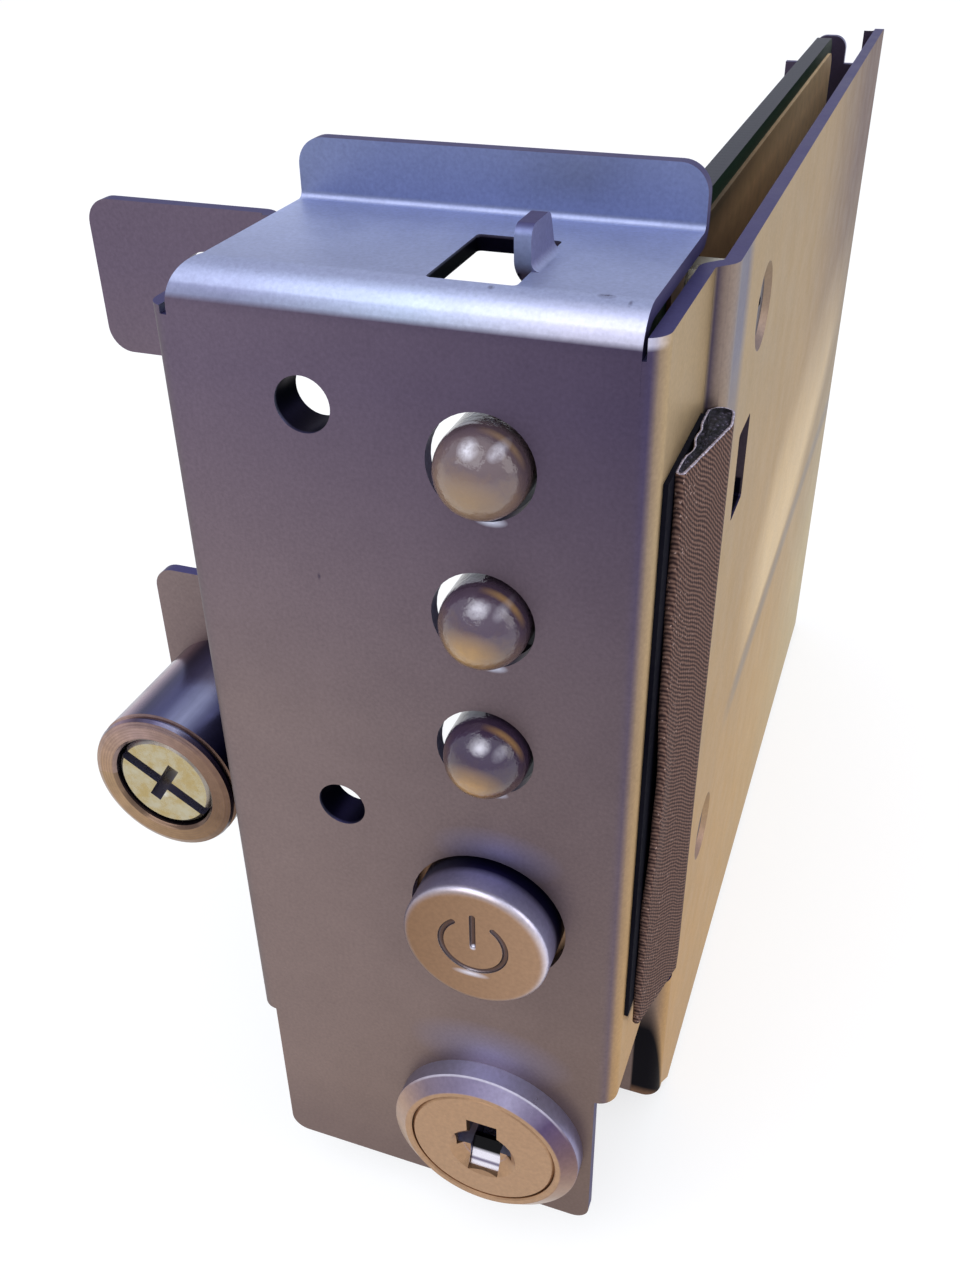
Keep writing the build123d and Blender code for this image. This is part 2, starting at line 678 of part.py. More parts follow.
def board_standoffs():
    """Hexagonal threaded spacers between the board and the dimples."""
    made = []
    for y, z in zip(FIXING_Y, FIXING_Z):
        plane = Plane(origin=(BOARD_RIGHT, y, z), x_dir=(0, 1, 0), z_dir=(1, 0, 0))
        body = extrude(plane * RegularPolygon(STANDOFF_R, 6, major_radius=False), BOSS_X - BOARD_RIGHT)
        made.append(body - bar(y, z, M3_R + THREAD_GAP, BOARD_RIGHT - 1, BOSS_X + 1))
    return made


def board_screws():
    """Pan head screws that hold the board to its spacers."""
    made = []
    for y, z in zip(FIXING_Y, FIXING_Z):
        head = turned_x(y, z, [(BOARD_X, 0), (BOARD_X, PAN_R), (BOARD_X - 0.9, PAN_R),
                               (BOARD_X - 1.5, PAN_R - 0.5), (BOARD_X - PAN_H, PAN_R - 1.4),
                               (BOARD_X - PAN_H, 0)])
        shank = bar(y, z, M3_R, BOARD_X - 0.1, BOARD_RIGHT + PAN_SHANK_REACH)
        made.append(head + shank - cross_recess_x(BOARD_X - PAN_H, y, z, 1))
    return made


def cross_recess_x(x, y, z, inward):
    """A small cross recess cut into a head along X."""
    arms = []
    for half_y, half_z in ((RECESS_REACH, RECESS_HALF), (RECESS_HALF, RECESS_REACH)):
        x0, x1 = sorted((x - inward, x + inward * RECESS_DEPTH))
        arms.append(block(x0, x1, y - half_y, y + half_y, z - half_z, z + half_z))
    return arms[0] + arms[1]


def wall_screws():
    """Countersunk screws sunk in the wall's dimples."""
    made = []
    face = WALL_X - CSK_SINK
    rim = face - CSK_GAP
    head_r = rim - BOSS_X + M3_R
    for y, z in zip(FIXING_Y, FIXING_Z):
        head = turned_x(y, z, [(face, 0), (face, head_r), (rim, head_r),
                               (BOSS_X, M3_R), (BOSS_X, 0)])
        shank = bar(y, z, M3_R, BOSS_X - CSK_SHANK_REACH, face - 1)
        made.append(head + shank - cross_recess_x(face, y, z, -1))
    return made


def power_symbol():
    """Cutters for the symbol: an open ring and a stem, both round grooves with round ends."""
    r, groove = SYMBOL_R, SYMBOL_GROOVE_R
    ring = Torus(r, groove, major_angle=360 - 2 * SYMBOL_OPENING)
    cuts = [ring.rotate(Axis.Z, 90 + SYMBOL_OPENING)]
    for side in (-1, 1):
        angle = radians(90 + side * SYMBOL_OPENING)
        cuts.append(Pos(r * cos(angle), r * sin(angle), 0) * Sphere(groove))
    stem_top = r + SYMBOL_STEM_PROUD
    cuts.append(Pos(0, stem_top / 2, 0) * Cylinder(groove, stem_top, rotation=(90, 0, 0)))
    cuts += [Pos(0, y, 0) * Sphere(groove) for y in (0, stem_top)]
    face = Location((CONTROL_X, -BUTTON_PROUD, BUTTON_Z + SYMBOL_RISE))
    return [cut.rotate(Axis.X, 90).moved(face) for cut in cuts]


def power_button():
    """Hollow cap with a retaining rim, an inner boss and the recessed symbol."""
    rim = SHEET + BUTTON_PLATE_GAP
    rear = rim + BUTTON_RIM_T
    cap = rod(CONTROL_X, BUTTON_Z, BUTTON_R, -BUTTON_PROUD, rear)
    cap = fillet(cap.edges().group_by(Axis.Y)[0], BUTTON_EDGE)
    cap += rod(CONTROL_X, BUTTON_Z, BUTTON_R + BUTTON_RIM, rim, rear)
    floor = BUTTON_SKIN - BUTTON_PROUD
    cap -= rod(CONTROL_X, BUTTON_Z, BUTTON_R - BUTTON_WALL, floor, rear + 1)
    cap += rod(CONTROL_X, BUTTON_Z, BUTTON_BOSS_R, floor - 0.1, BUTTON_BOSS_L)
    cap -= square_bar(PLUNGER / 2, PLUNGER_FRONT, BUTTON_BOSS_L + 1)
    for cut in power_symbol():
        cap -= cut
    return cap


def square_bar(half, y0, y1):
    """A square bar along Y on the button's axis."""
    return block(CONTROL_X - half, CONTROL_X + half, y0, y1, BUTTON_Z - half, BUTTON_Z + half)


def power_switch_body():
    """Switch housing on the board with its guide neck and pins."""
    half, rear = SWITCH_HALF, SWITCH_FRONT + SWITCH_L
    body = block(CONTROL_X - half, BOARD_X, SWITCH_FRONT, rear, BUTTON_Z - half, BUTTON_Z + half)
    body += rod(CONTROL_X, BUTTON_Z, NECK_R, SWITCH_FRONT - NECK_L, SWITCH_FRONT + 0.1)
    bore_end = PLUNGER_REAR + BUTTON_TRAVEL + 0.4
    body -= square_bar(PLUNGER / 2 + PLUNGER_GAP, SWITCH_FRONT - NECK_L - 1, bore_end)
    for y, z in switch_pin_places():
        body += bar(y, z, SWITCH_PIN / 2, BOARD_X - 0.5, BOARD_RIGHT + LEAD_PROUD)
    return body


def bezel_profile():
    """Half section of the key switch's bezel and barrel, as (radius, y) corners."""
    bore, pocket = PLUG_R + RUN_GAP, PLUG_FACE_R + RUN_GAP
    seat = PLUG_FACE + PLUG_FACE_T
    return [
        (bore, seat), (pocket, seat), (pocket, -BEZEL_T + BEZEL_LIP), (pocket + BEZEL_LIP, -BEZEL_T),
        (BEZEL_R - BEZEL_BEVEL_W, -BEZEL_T), (BEZEL_R, -BEZEL_T + BEZEL_BEVEL_H), (BEZEL_R, 0),
        (BARREL_R, 0), (BARREL_R, BARREL_L), (bore, BARREL_L),
    ]


def key_switch_body():
    """Bezel and threaded barrel with two flats."""
    body = turned(CONTROL_X, KEY_Z, bezel_profile())
    for side in (-1, 1):
        x0, x1 = sorted((CONTROL_X + side * BARREL_FLAT, CONTROL_X + side * (BARREL_R + 1)))
        body -= block(x0, x1, 0, BARREL_L + 1, KEY_Z - BARREL_R, KEY_Z + BARREL_R)
    return body


def keyway():
    """The cross shaped keyway in the plug, with a sunk cone round its lower half."""
    x, z = CONTROL_X, KEY_Z
    upright = block(x - KEYWAY_W / 2, x + KEYWAY_W / 2, PLUG_FACE - 1, PLUG_FACE + KEYWAY_DEPTH,
                    z - KEYWAY_H / 2, z + KEYWAY_H / 2)
    arms = block(x - KEYWAY_ARM_W / 2, x + KEYWAY_ARM_W / 2, PLUG_FACE - 1,
                 PLUG_FACE + KEYWAY_DEPTH / 3, z - KEYWAY_ARM_H / 2, z + KEYWAY_ARM_H / 2)
    bottom = PLUG_FACE + KEYWAY_LEAD_DEPTH
    lead = turned(x, z - KEYWAY_LEAD_DROP, [
        (0, PLUG_FACE - 1), (KEYWAY_LEAD_R, PLUG_FACE - 1), (KEYWAY_LEAD_R, PLUG_FACE),
        (KEYWAY_LEAD_BOTTOM_R, bottom), (0, bottom)])
    return [upright, arms, lead]


def key_plug():
    """The turning plug with its face, its tail and the keyway."""
    seat = PLUG_FACE + PLUG_FACE_T
    plug = rod(CONTROL_X, KEY_Z, PLUG_FACE_R, PLUG_FACE, seat)
    plug = chamfer(plug.edges().group_by(Axis.Y)[0], PLUG_EDGE)
    plug += rod(CONTROL_X, KEY_Z, PLUG_R, seat, BARREL_L + PLUG_TAIL_L)
    for cut in keyway():
        plug -= cut
    return plug


def key_shutter():
    """The small dust flap that leans in the lower half of the keyway."""
    half = KEYWAY_W / 2 - RUN_GAP
    top, low = KEY_Z - SHUTTER_DROP, KEY_Z - KEYWAY_H / 2
    lean = (top - low) * tan(radians(SHUTTER_TILT))
    front = PLUG_FACE + SHUTTER_DEPTH
    return side_view([(front, low), (front + lean, top), (front + lean + SHUTTER_T, top),
                      (front + SHUTTER_T, low)], CONTROL_X - half, CONTROL_X + half)


def key_nut():
    """Hexagonal nut that clamps the barrel from behind the plate."""
    y0 = SHEET + LOCK_WASHER_T
    plane = Plane(origin=(CONTROL_X, y0, KEY_Z), x_dir=(0, 0, 1), z_dir=(0, 1, 0))
    nut = extrude(plane * RegularPolygon(NUT_AF / 2, 6, major_radius=False), NUT_T)
    return nut - rod(CONTROL_X, KEY_Z, BARREL_R + THREAD_GAP, y0 - 1, y0 + NUT_T + 1)


def key_lock_washer():
    """Toothed washer between the nut and the plate."""
    ring = rod(CONTROL_X, KEY_Z, LOCK_WASHER_R, SHEET, SHEET + LOCK_WASHER_T)
    ring -= rod(CONTROL_X, KEY_Z, BARREL_R + HOLE_GAP, 0, SHEET + 2)
    teeth = 16
    for i in range(teeth):
        angle = 2 * pi * i / teeth
        notch = block(-0.45, 0.45, 0, SHEET + 2, LOCK_WASHER_R - 0.9, LOCK_WASHER_R + 1)
        ring -= notch.rotate(Axis.Y, degrees(angle)).moved(Location((CONTROL_X, 0, KEY_Z)))
    return ring


def key_contact_block():
    """Contact block on the barrel's end, hollow where the plug's tail turns."""
    y0 = BARREL_L
    solid = rod(CONTROL_X, KEY_Z, BLOCK_R, y0, y0 + BLOCK_L)
    return solid - rod(CONTROL_X, KEY_Z, PLUG_R + HOLE_GAP, y0 - 1, y0 + PLUG_TAIL_L + 0.3)


def key_terminals():
    """Two flat terminals on the contact block."""
    y0 = BARREL_L + BLOCK_L
    made = []
    for side in (-1, 1):
        x = CONTROL_X + side * TERMINAL_SPREAD
        blade = block(x - TERMINAL_T / 2, x + TERMINAL_T / 2, y0, y0 + TERMINAL_L,
                      KEY_Z - TERMINAL_W / 2, KEY_Z + TERMINAL_W / 2)
        made.append(blade - bar(y0 + TERMINAL_L - TERMINAL_EYE_BACK, KEY_Z, TERMINAL_EYE_R, x - 1, x + 1))
    return made


SLEEVE_WALL_REAR = MOUNT_Y - SLEEVE_REAR_BORE_L
SLEEVE_WALL_FRONT = SLEEVE_WALL_REAR - SLEEVE_WALL
HEAD_FRONT = SLEEVE_FRONT + SCREW_HEAD_RECESS
HEAD_REAR = HEAD_FRONT + SCREW_HEAD_L


def captive_sleeve():
    """Sleeve pressed in the lower ear, with a rolled lip and a wall that keeps the screw."""
    r, front, lip = SLEEVE_R, SLEEVE_FRONT, SLEEVE_LIP
    groove = front + lip + SLEEVE_GROOVE
    return turned(CAPTIVE_X, CAPTIVE_Z, [
        (SLEEVE_BORE_R, SLEEVE_WALL_FRONT), (SLEEVE_BORE_R, front + 0.25),
        (SLEEVE_BORE_R + 0.25, front), (r - lip, front), (r - lip * 0.3, front + lip * 0.3),
        (r - 0.05, front + lip * 0.8), (r - SLEEVE_GROOVE, front + lip),
        (r - SLEEVE_GROOVE, groove), (r, groove + 0.15), (r, EAR_DEPTH),
        (SLEEVE_SHANK_R, EAR_DEPTH), (SLEEVE_SHANK_R, MOUNT_Y), (SLEEVE_REAR_BORE_R, MOUNT_Y),
        (SLEEVE_REAR_BORE_R, SLEEVE_WALL_REAR), (SCREW_NECK_R + SLEEVE_NECK_GAP, SLEEVE_WALL_REAR),
        (SCREW_NECK_R + SLEEVE_NECK_GAP, SLEEVE_WALL_FRONT)])


def captive_screw():
    """Screw with a slot and cross head, a thin neck and a thread that can't pull out."""
    thread = MOUNT_Y + SCREW_THREAD_START
    tip = MOUNT_Y + SCREW_TIP_PROUD
    screw = turned(CAPTIVE_X, CAPTIVE_Z, [
        (0, HEAD_FRONT), (SCREW_HEAD_R - 0.3, HEAD_FRONT), (SCREW_HEAD_R, HEAD_FRONT + 0.25),
        (SCREW_HEAD_R, HEAD_REAR), (SCREW_NECK_R, HEAD_REAR), (SCREW_NECK_R, thread - 0.3),
        (SCREW_THREAD_R, thread), (SCREW_THREAD_R, tip - 0.4),
        (SCREW_THREAD_R - 0.5, tip), (0, tip)])
    slot = block(-SCREW_HEAD_R - 1, SCREW_HEAD_R + 1, HEAD_FRONT - 1,
                 HEAD_FRONT + SCREW_SLOT_DEPTH, -SCREW_SLOT_W / 2, SCREW_SLOT_W / 2)
    cross = block(-SCREW_SLOT_W / 2, SCREW_SLOT_W / 2, HEAD_FRONT - 1,
                  HEAD_FRONT + SCREW_CROSS_DEPTH, -SCREW_CROSS_REACH, SCREW_CROSS_REACH)
    for cut in (slot, cross):
        screw -= cut.rotate(Axis.Y, SCREW_SLOT_ANGLE).moved(Location((CAPTIVE_X, 0, CAPTIVE_Z)))
    return screw


def captive_washer():
    """Thrust washer between the screw's head and the spring."""
    y1 = HEAD_REAR + WASHER_T
    ring = rod(CAPTIVE_X, CAPTIVE_Z, WASHER_R, HEAD_REAR, y1)
    return ring - rod(CAPTIVE_X, CAPTIVE_Z, SCREW_NECK_R + SLEEVE_NECK_GAP, HEAD_REAR - 1, y1 + 1)


def teardrop(inset):
    """Section of the gasket seen from above, drawn in from its outer face."""
    base = PLATE_W + TAPE_T
    centres = [
        (GASKET_TIP_R, GASKET_TIP_R), (GASKET_BULB_R, GASKET_BULB_BACK),
        (GASKET_REAR_R, GASKET_W - GASKET_REAR_R),
    ]
    edges = ShapeList()
    for x, y in centres:
        edges += (Pos(base + x, GASKET_TIP_Y + y) * Circle(x - inset)).edges()
    return make_hull(edges)


def gasket_piece(face):
    """Extrude a gasket section over the gasket's height."""
    return extrude(face, GASKET_TOP - GASKET_BOTTOM).moved(Location((0, 0, GASKET_BOTTOM)))


def gasket_fabric():
    """Woven cover round the foam."""
    return gasket_piece(teardrop(0)) - gasket_piece(teardrop(FABRIC_T))


def gasket_foam():
    """Foam core."""
    return gasket_piece(teardrop(FABRIC_T))


def gasket_tape():
    """Adhesive tape between the gasket and the wall."""
    return block(PLATE_W, PLATE_W + TAPE_T, TAPE_FRONT, TAPE_FRONT + TAPE_W,
                 GASKET_BOTTOM + TAPE_RISE, GASKET_TOP)


def board_header():
    """Shrouded header with a keying slot in its wall."""
    x0 = BOARD_X - HEADER_H
    half_y, half_z = HEADER_W / 2, HEADER_L / 2
    shroud = block(x0, BOARD_X, HEADER_Y - half_y, HEADER_Y + half_y,
                   HEADER_Z - half_z, HEADER_Z + half_z)
    shroud -= block(x0 - 1, BOARD_X - HEADER_FLOOR, HEADER_Y - half_y + HEADER_WALL,
                    HEADER_Y + half_y - HEADER_WALL, HEADER_Z - half_z + HEADER_WALL,
                    HEADER_Z + half_z - HEADER_WALL)
    shroud -= block(x0 - 1, BOARD_X - HEADER_FLOOR, HEADER_Y - half_y - 1, HEADER_Y - half_y + 2,
                    HEADER_Z - HEADER_KEY / 2, HEADER_Z + HEADER_KEY / 2)
    for pin in header_pins():
        shroud -= pin
    return shroud


def header_pins():
    """Square pins from the header through the board."""
    half = PIN / 2
    return [block(BOARD_X - PIN_L, BOARD_RIGHT + LEAD_PROUD, y - half, y + half, z - half, z + half)
            for y, z in header_pin_places()]


def driver_chip():
    """Body of the driver circuit."""
    body = block(BOARD_X - CHIP_H, BOARD_X, CHIP_Y - CHIP_W / 2, CHIP_Y + CHIP_W / 2,
                 CHIP_Z - CHIP_L / 2, CHIP_Z + CHIP_L / 2)
    return chamfer(body.edges().group_by(Axis.X)[0], 0.25)


def chip_legs():
    """Bent legs along both sides of the driver circuit."""
    made = []
    high = BOARD_X - CHIP_H / 2
    for side in (-1, 1):
        for i in range(CHIP_LEGS):
            z = CHIP_Z + (i - (CHIP_LEGS - 1) / 2) * CHIP_PITCH
            edge = CHIP_W / 2
            outline = [(high, edge), (high, edge + 0.7), (BOARD_X - 0.2, edge + 0.7),
                       (BOARD_X - 0.2, edge + LEG_REACH), (BOARD_X, edge + LEG_REACH),
                       (BOARD_X, edge + 0.5), (high + 0.2, edge + 0.5), (high + 0.2, edge)]
            points = [(x, CHIP_Y + side * y) for x, y in outline]
            leg = extrude(make_face(Polyline(*points, close=True)), LEG_W)
            made.append(leg.moved(Location((0, 0, z - LEG_W / 2))))
    return made


def chip_resistors():
    """One series resistor for each lamp."""
    return [block(BOARD_X - RESISTOR_H, BOARD_X, RESISTOR_Y, RESISTOR_Y + RESISTOR_L,
                  z - RESISTOR_W / 2, z + RESISTOR_W / 2) for z in PIPE_HEIGHTS]


def board_capacitor():
    """Surface mounted can capacitor on its base."""
    half = CAN_BASE / 2
    base = rounded_block(BOARD_X - CAN_BASE_T, BOARD_X, CAN_Y - half, CAN_Y + half,
                         CAN_Z - half, CAN_Z + half, Axis.X, 0.8)
    foot = BOARD_X - CAN_BASE_T
    top, groove = foot - CAN_H, foot - CAN_GROOVE_X
    can = turned_x(CAN_Y, CAN_Z, [
        (top, 0), (top, CAN_R - CAN_EDGE), (top + CAN_EDGE, CAN_R),
        (groove - CAN_GROOVE_HALF, CAN_R), (groove, CAN_R - CAN_GROOVE_DEPTH),
        (groove + CAN_GROOVE_HALF, CAN_R), (foot, CAN_R), (foot, 0)])
    return base + can


def button_spring():
    """Return spring between the cap and the switch."""
    return coil_spring(CONTROL_X, BUTTON_Z, BUTTON_SKIN - BUTTON_PROUD, SWITCH_FRONT,
                        SPRING_COIL_R, SPRING_WIRE_R, SPRING_TURNS)


def captive_spring():
    """Spring that lifts the captive screw."""
    return coil_spring(CAPTIVE_X, CAPTIVE_Z, HEAD_REAR + WASHER_T, SLEEVE_WALL_FRONT,
                        CAPTIVE_COIL_R, CAPTIVE_WIRE_R, CAPTIVE_TURNS)


def all_nodes():
    """Every node's name with its solids."""
    nodes = {
        "bracket": bracket(),
        "circuit_board": circuit_board(),
        "insulator_sheet": insulator_sheet(),
        "board_standoffs": board_standoffs(),
        "board_screws": board_screws(),
        "wall_screws": wall_screws(),
        "board_header": board_header(),
        "header_pins": header_pins(),
        "driver_chip": driver_chip(),
        "chip_legs": chip_legs(),
        "chip_resistors": chip_resistors(),
        "board_capacitor": board_capacitor(),
        "power_button": power_button(),
        "power_switch_body": power_switch_body(),
        "power_switch_plunger": square_bar(PLUNGER / 2, PLUNGER_FRONT, PLUNGER_REAR),
        "button_spring": button_spring(),
        "key_switch_body": key_switch_body(),
        "key_plug": key_plug(),
        "key_shutter": key_shutter(),
        "key_nut": key_nut(),
        "key_lock_washer": key_lock_washer(),
        "key_contact_block": key_contact_block(),
        "key_terminals": key_terminals(),
        "captive_sleeve": captive_sleeve(),
        "captive_screw": captive_screw(),
        "captive_washer": captive_washer(),
        "captive_spring": captive_spring(),
        "gasket_tape": gasket_tape(),
        "gasket_foam": gasket_foam(),
        "gasket_fabric": gasket_fabric(),
    }
    for name, z in zip(LED_NAMES, PIPE_HEIGHTS):
        nodes["light_pipe_" + name] = light_pipe(z)
        nodes["led_holder_" + name] = led_holder(z)
        nodes["led_" + name] = led(z)
    return nodes


os.makedirs("parts", exist_ok=True)
to_datum = Location(tuple(-v for v in DATUM))
for node, shape in all_nodes().items():
    solids = shape if isinstance(shape, list) else [shape]
    placed = [solid.moved(to_datum) for item in solids for solid in item.solids()]
    export_step(placed[0] if len(placed) == 1 else Compound(children=placed), f"parts/{node}.step")
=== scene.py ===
import bpy
import bmesh
import math
import random
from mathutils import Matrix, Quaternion, Vector


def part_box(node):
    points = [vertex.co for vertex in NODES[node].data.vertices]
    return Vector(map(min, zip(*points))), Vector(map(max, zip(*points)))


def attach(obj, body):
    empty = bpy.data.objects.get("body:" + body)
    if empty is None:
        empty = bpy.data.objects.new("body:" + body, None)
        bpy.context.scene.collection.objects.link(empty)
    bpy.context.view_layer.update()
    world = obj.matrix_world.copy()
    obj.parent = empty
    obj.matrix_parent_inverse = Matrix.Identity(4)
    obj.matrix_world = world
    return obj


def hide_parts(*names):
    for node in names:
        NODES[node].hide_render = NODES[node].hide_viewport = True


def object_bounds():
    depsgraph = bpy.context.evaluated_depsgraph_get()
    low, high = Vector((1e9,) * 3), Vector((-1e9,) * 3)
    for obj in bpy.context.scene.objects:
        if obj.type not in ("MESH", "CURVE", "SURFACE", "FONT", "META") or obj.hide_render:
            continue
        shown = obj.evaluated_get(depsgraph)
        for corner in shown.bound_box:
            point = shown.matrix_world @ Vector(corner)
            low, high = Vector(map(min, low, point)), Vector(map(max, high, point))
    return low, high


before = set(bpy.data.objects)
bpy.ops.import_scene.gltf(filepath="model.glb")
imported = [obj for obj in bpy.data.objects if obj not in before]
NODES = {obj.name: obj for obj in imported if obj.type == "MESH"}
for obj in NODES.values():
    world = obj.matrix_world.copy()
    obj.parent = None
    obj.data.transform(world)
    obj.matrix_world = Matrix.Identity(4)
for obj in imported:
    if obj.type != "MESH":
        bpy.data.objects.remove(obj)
CAD_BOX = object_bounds()
random.seed(7)

# Places on the panel are in millimetres from the lower left corner of the front plate's outer
# face, with X to the right, Y to the rear and Z up. DATUM is the row frame's origin in them.
DATUM = (-5.0, 16.3, 73.0)
MM = 1000.0


def place(x, y, z):
    """A place on the panel, in the row frame's metres."""
    return Vector(((x - DATUM[0]) / MM, (y - DATUM[1]) / MM, (z - DATUM[2]) / MM))


def axis(node):
    """X and Z on the panel of the axis of a node that is round about the Y direction."""
    low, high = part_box(node)
    return [round((low[i] + high[i]) / 2 * MM + DATUM[i], 2) for i in (0, 2)]


def srgb(r, g, b):
    """A linear colour from screen values of 0 to 255."""
    def one(v):
        v /= 255
        return v / 12.92 if v <= 0.04045 else ((v + 0.055) / 1.055) ** 2.4
    return (one(r), one(g), one(b), 1.0)


class Nodes:
    """Builds a material's node tree with short calls. A share is a value from 0 to 1."""

    def __init__(self, name):
        self.mat = bpy.data.materials.new(name)
        self.mat.use_nodes = True
        self.tree = self.mat.node_tree
        self.tree.nodes.clear()
        self.out = self.add("ShaderNodeOutputMaterial")
        self.bsdf = self.add("ShaderNodeBsdfPrincipled")
        self.link(self.bsdf.outputs[0], self.out.inputs["Surface"])
        self.coord = self.add("ShaderNodeTexCoord").outputs["Object"]

    def add(self, kind, **props):
        node = self.tree.nodes.new(kind)
        for key, value in props.items():
            setattr(node, key, value)
        return node

    def link(self, a, b):
        self.tree.links.new(a, b)

    def set(self, **values):
        """Constants on the shader's own sockets."""
        for key, value in values.items():
            self.bsdf.inputs[key.replace("_", " ")].default_value = value

    def to(self, socket, value):
        self.link(value, self.bsdf.inputs[socket])

    def split(self, vector):
        node = self.add("ShaderNodeSeparateXYZ")
        self.link(vector, node.inputs[0])
        return node.outputs

    def point(self):
        """X, Y and Z on the panel, in millimetres."""
        parts = self.split(self.coord)
        return [self.math("MULTIPLY_ADD", parts[i], MM, DATUM[i]) for i in range(3)]

    def noise(self, scale, detail=3.0, rough=0.55, stretch=(1, 1, 1)):
        mapping = self.add("ShaderNodeMapping")
        mapping.inputs["Scale"].default_value = stretch
        self.link(self.coord, mapping.inputs["Vector"])
        node = self.add("ShaderNodeTexNoise")
        node.inputs["Scale"].default_value = scale
        node.inputs["Detail"].default_value = detail
        node.inputs["Roughness"].default_value = rough
        self.link(mapping.outputs[0], node.inputs["Vector"])
        return node.outputs["Fac"]

    def ramp(self, fac, *stops):
        node = self.add("ShaderNodeValToRGB")
        ramp = node.color_ramp
        while len(ramp.elements) < len(stops):
            ramp.elements.new(0.5)
        for element, (at, colour) in zip(ramp.elements, stops):
            element.position = at
            element.color = colour if len(colour) == 4 else (*colour, 1)
        self.link(fac, node.inputs[0])
        return node.outputs[0]

    def grey(self, value, low, high, a=0.3, b=0.7):
        """One value where the input is a or less and another from b on, blended between."""
        node = self.add("ShaderNodeMapRange")
        node.inputs["From Min"].default_value = a
        node.inputs["From Max"].default_value = b
        node.inputs["To Min"].default_value = low
        node.inputs["To Max"].default_value = high
        self.link(value, node.inputs["Value"])
        return node.outputs[0]

    def rise(self, value, a, b):
        """A share that goes from 0 at a to 1 at b."""
        return self.grey(value, 0.0, 1.0, a, b)

    def fall(self, value, a, b):
        """A share that goes from 1 at a to 0 at b."""
        return self.grey(value, 1.0, 0.0, a, b)

    def band(self, value, low, high, soft):
        """The share of 1 where a value lies between two others, with soft borders."""
        return self.times(self.rise(value, low - soft, low + soft),
                          self.fall(value, high - soft, high + soft))

    def math(self, op, a, b=None, c=None):
        node = self.add("ShaderNodeMath", operation=op)
        for i, v in enumerate((a, b, c)):
            if v is None:
                continue
            if isinstance(v, (int, float)):
                node.inputs[i].default_value = v
            else:
                self.link(v, node.inputs[i])
        return node.outputs[0]

    def times(self, first, *others):
        for other in others:
            first = self.math("MULTIPLY", first, other)
        return first

    def most(self, first, *others):
        for other in others:
            first = self.math("MAXIMUM", first, other)
        return first

    def mix(self, share, a, b, blend="MIX"):
        node = self.add("ShaderNodeMix", data_type="RGBA", blend_type=blend)
        for i, v in ((0, share), (6, a), (7, b)):
            if isinstance(v, (int, float)):
                node.inputs[i].default_value = v
            elif isinstance(v, tuple):
                node.inputs[i].default_value = v if len(v) == 4 else (*v, 1)
            else:
                self.link(v, node.inputs[i])
        return node.outputs[2]

    def layer(self, under, share, over):
        """Lay one colour over another."""
        return self.mix(share, under, over)

    def grained(self, tone, grain, dark, light, low=0.3, high=0.7, blue=0.01):
        """Darken a colour where the grain is low, a little less in blue, and lighten its rest."""
        shade = self.ramp(grain, (low, (dark, dark, dark + blue)), (high, (light, light, light)))
        return self.mix(1.0, tone, shade, "MULTIPLY")

    def bump(self, height, strength, distance):
        node = self.add("ShaderNodeBump")
        node.inputs["Strength"].default_value = strength
        node.inputs["Distance"].default_value = distance
        self.link(height, node.inputs["Height"])
        self.link(node.outputs[0], self.bsdf.inputs["Normal"])

    def facing(self, front, back, right, left, up, down):
        """A colour for each way that the surface faces in the object's own frame, blended: painted
        light and reflection that differ from side to side.
        """
        parts = self.split(self.add("ShaderNodeTexCoord").outputs["Normal"])
        total = None
        for part, (plus, minus) in zip(parts, ((right, left), (back, front), (up, down))):
            tone = self.mix(self.math("GREATER_THAN", part, 0.0), minus, plus)
            share = self.add("ShaderNodeVectorMath", operation="SCALE")
            self.link(tone, share.inputs[0])
            self.link(self.times(part, part), share.inputs["Scale"])
            if total is None:
                total = share.outputs[0]
                continue
            both = self.add("ShaderNodeVectorMath", operation="ADD")
            self.link(total, both.inputs[0])
            self.link(share.outputs[0], both.inputs[1])
            total = both.outputs[0]
        return total

    def spot(self, centre, radii, soft):
        """The share of 1 inside an ellipsoid on the panel, fading to 0 at its radii."""
        away = self.add("ShaderNodeVectorMath", operation="SUBTRACT")
        self.link(self.coord, away.inputs[0])
        away.inputs[1].default_value = place(*centre)
        scaled = self.add("ShaderNodeVectorMath", operation="MULTIPLY")
        self.link(away.outputs[0], scaled.inputs[0])
        scaled.inputs[1].default_value = [MM / r for r in radii]
        far = self.add("ShaderNodeVectorMath", operation="LENGTH")
        self.link(scaled.outputs[0], far.inputs[0])
        return self.fall(far.outputs["Value"], 1.0 - soft, 1.0)

    def around(self, x, z):
        """Millimetres from an axis along Y, and the turn round it: 0.25 is its bottom, 0.5 its
        right, 0.75 its top, and 0 and 1 are its left."""
        parts = self.split(self.coord)
        middle = place(x, 0, z)
        dx = self.math("SUBTRACT", parts[0], middle[0])
        dz = self.math("SUBTRACT", parts[2], middle[2])
        square = self.math("ADD", self.times(dx, dx), self.times(dz, dz))
        radius = self.times(self.math("SQRT", square), MM)
        turn = self.math("MULTIPLY_ADD", self.math("ARCTAN2", dz, dx), 0.5 / math.pi, 0.5)
        return radius, turn


def dress(material, *names):
    """Give CAD nodes a material."""
    for name in names:
        obj = NODES[name]
        obj.data.materials.clear()
        obj.data.materials.append(material)


# Round pieces on the panel
PIPE_NAMES = ("upper", "middle", "lower")
PIPES = {name: axis("light_pipe_" + name) for name in PIPE_NAMES}
PIPE_R = 2.9
BUTTON_X, BUTTON_Z = axis("power_button")
BUTTON_FACE = -3.1
KEY_X, KEY_Z = axis("key_plug")
SLEEVE_X, SLEEVE_Z = axis("captive_sleeve")
TRIM_HOLES = ((9.8, 72.0), (9.8, 41.3))

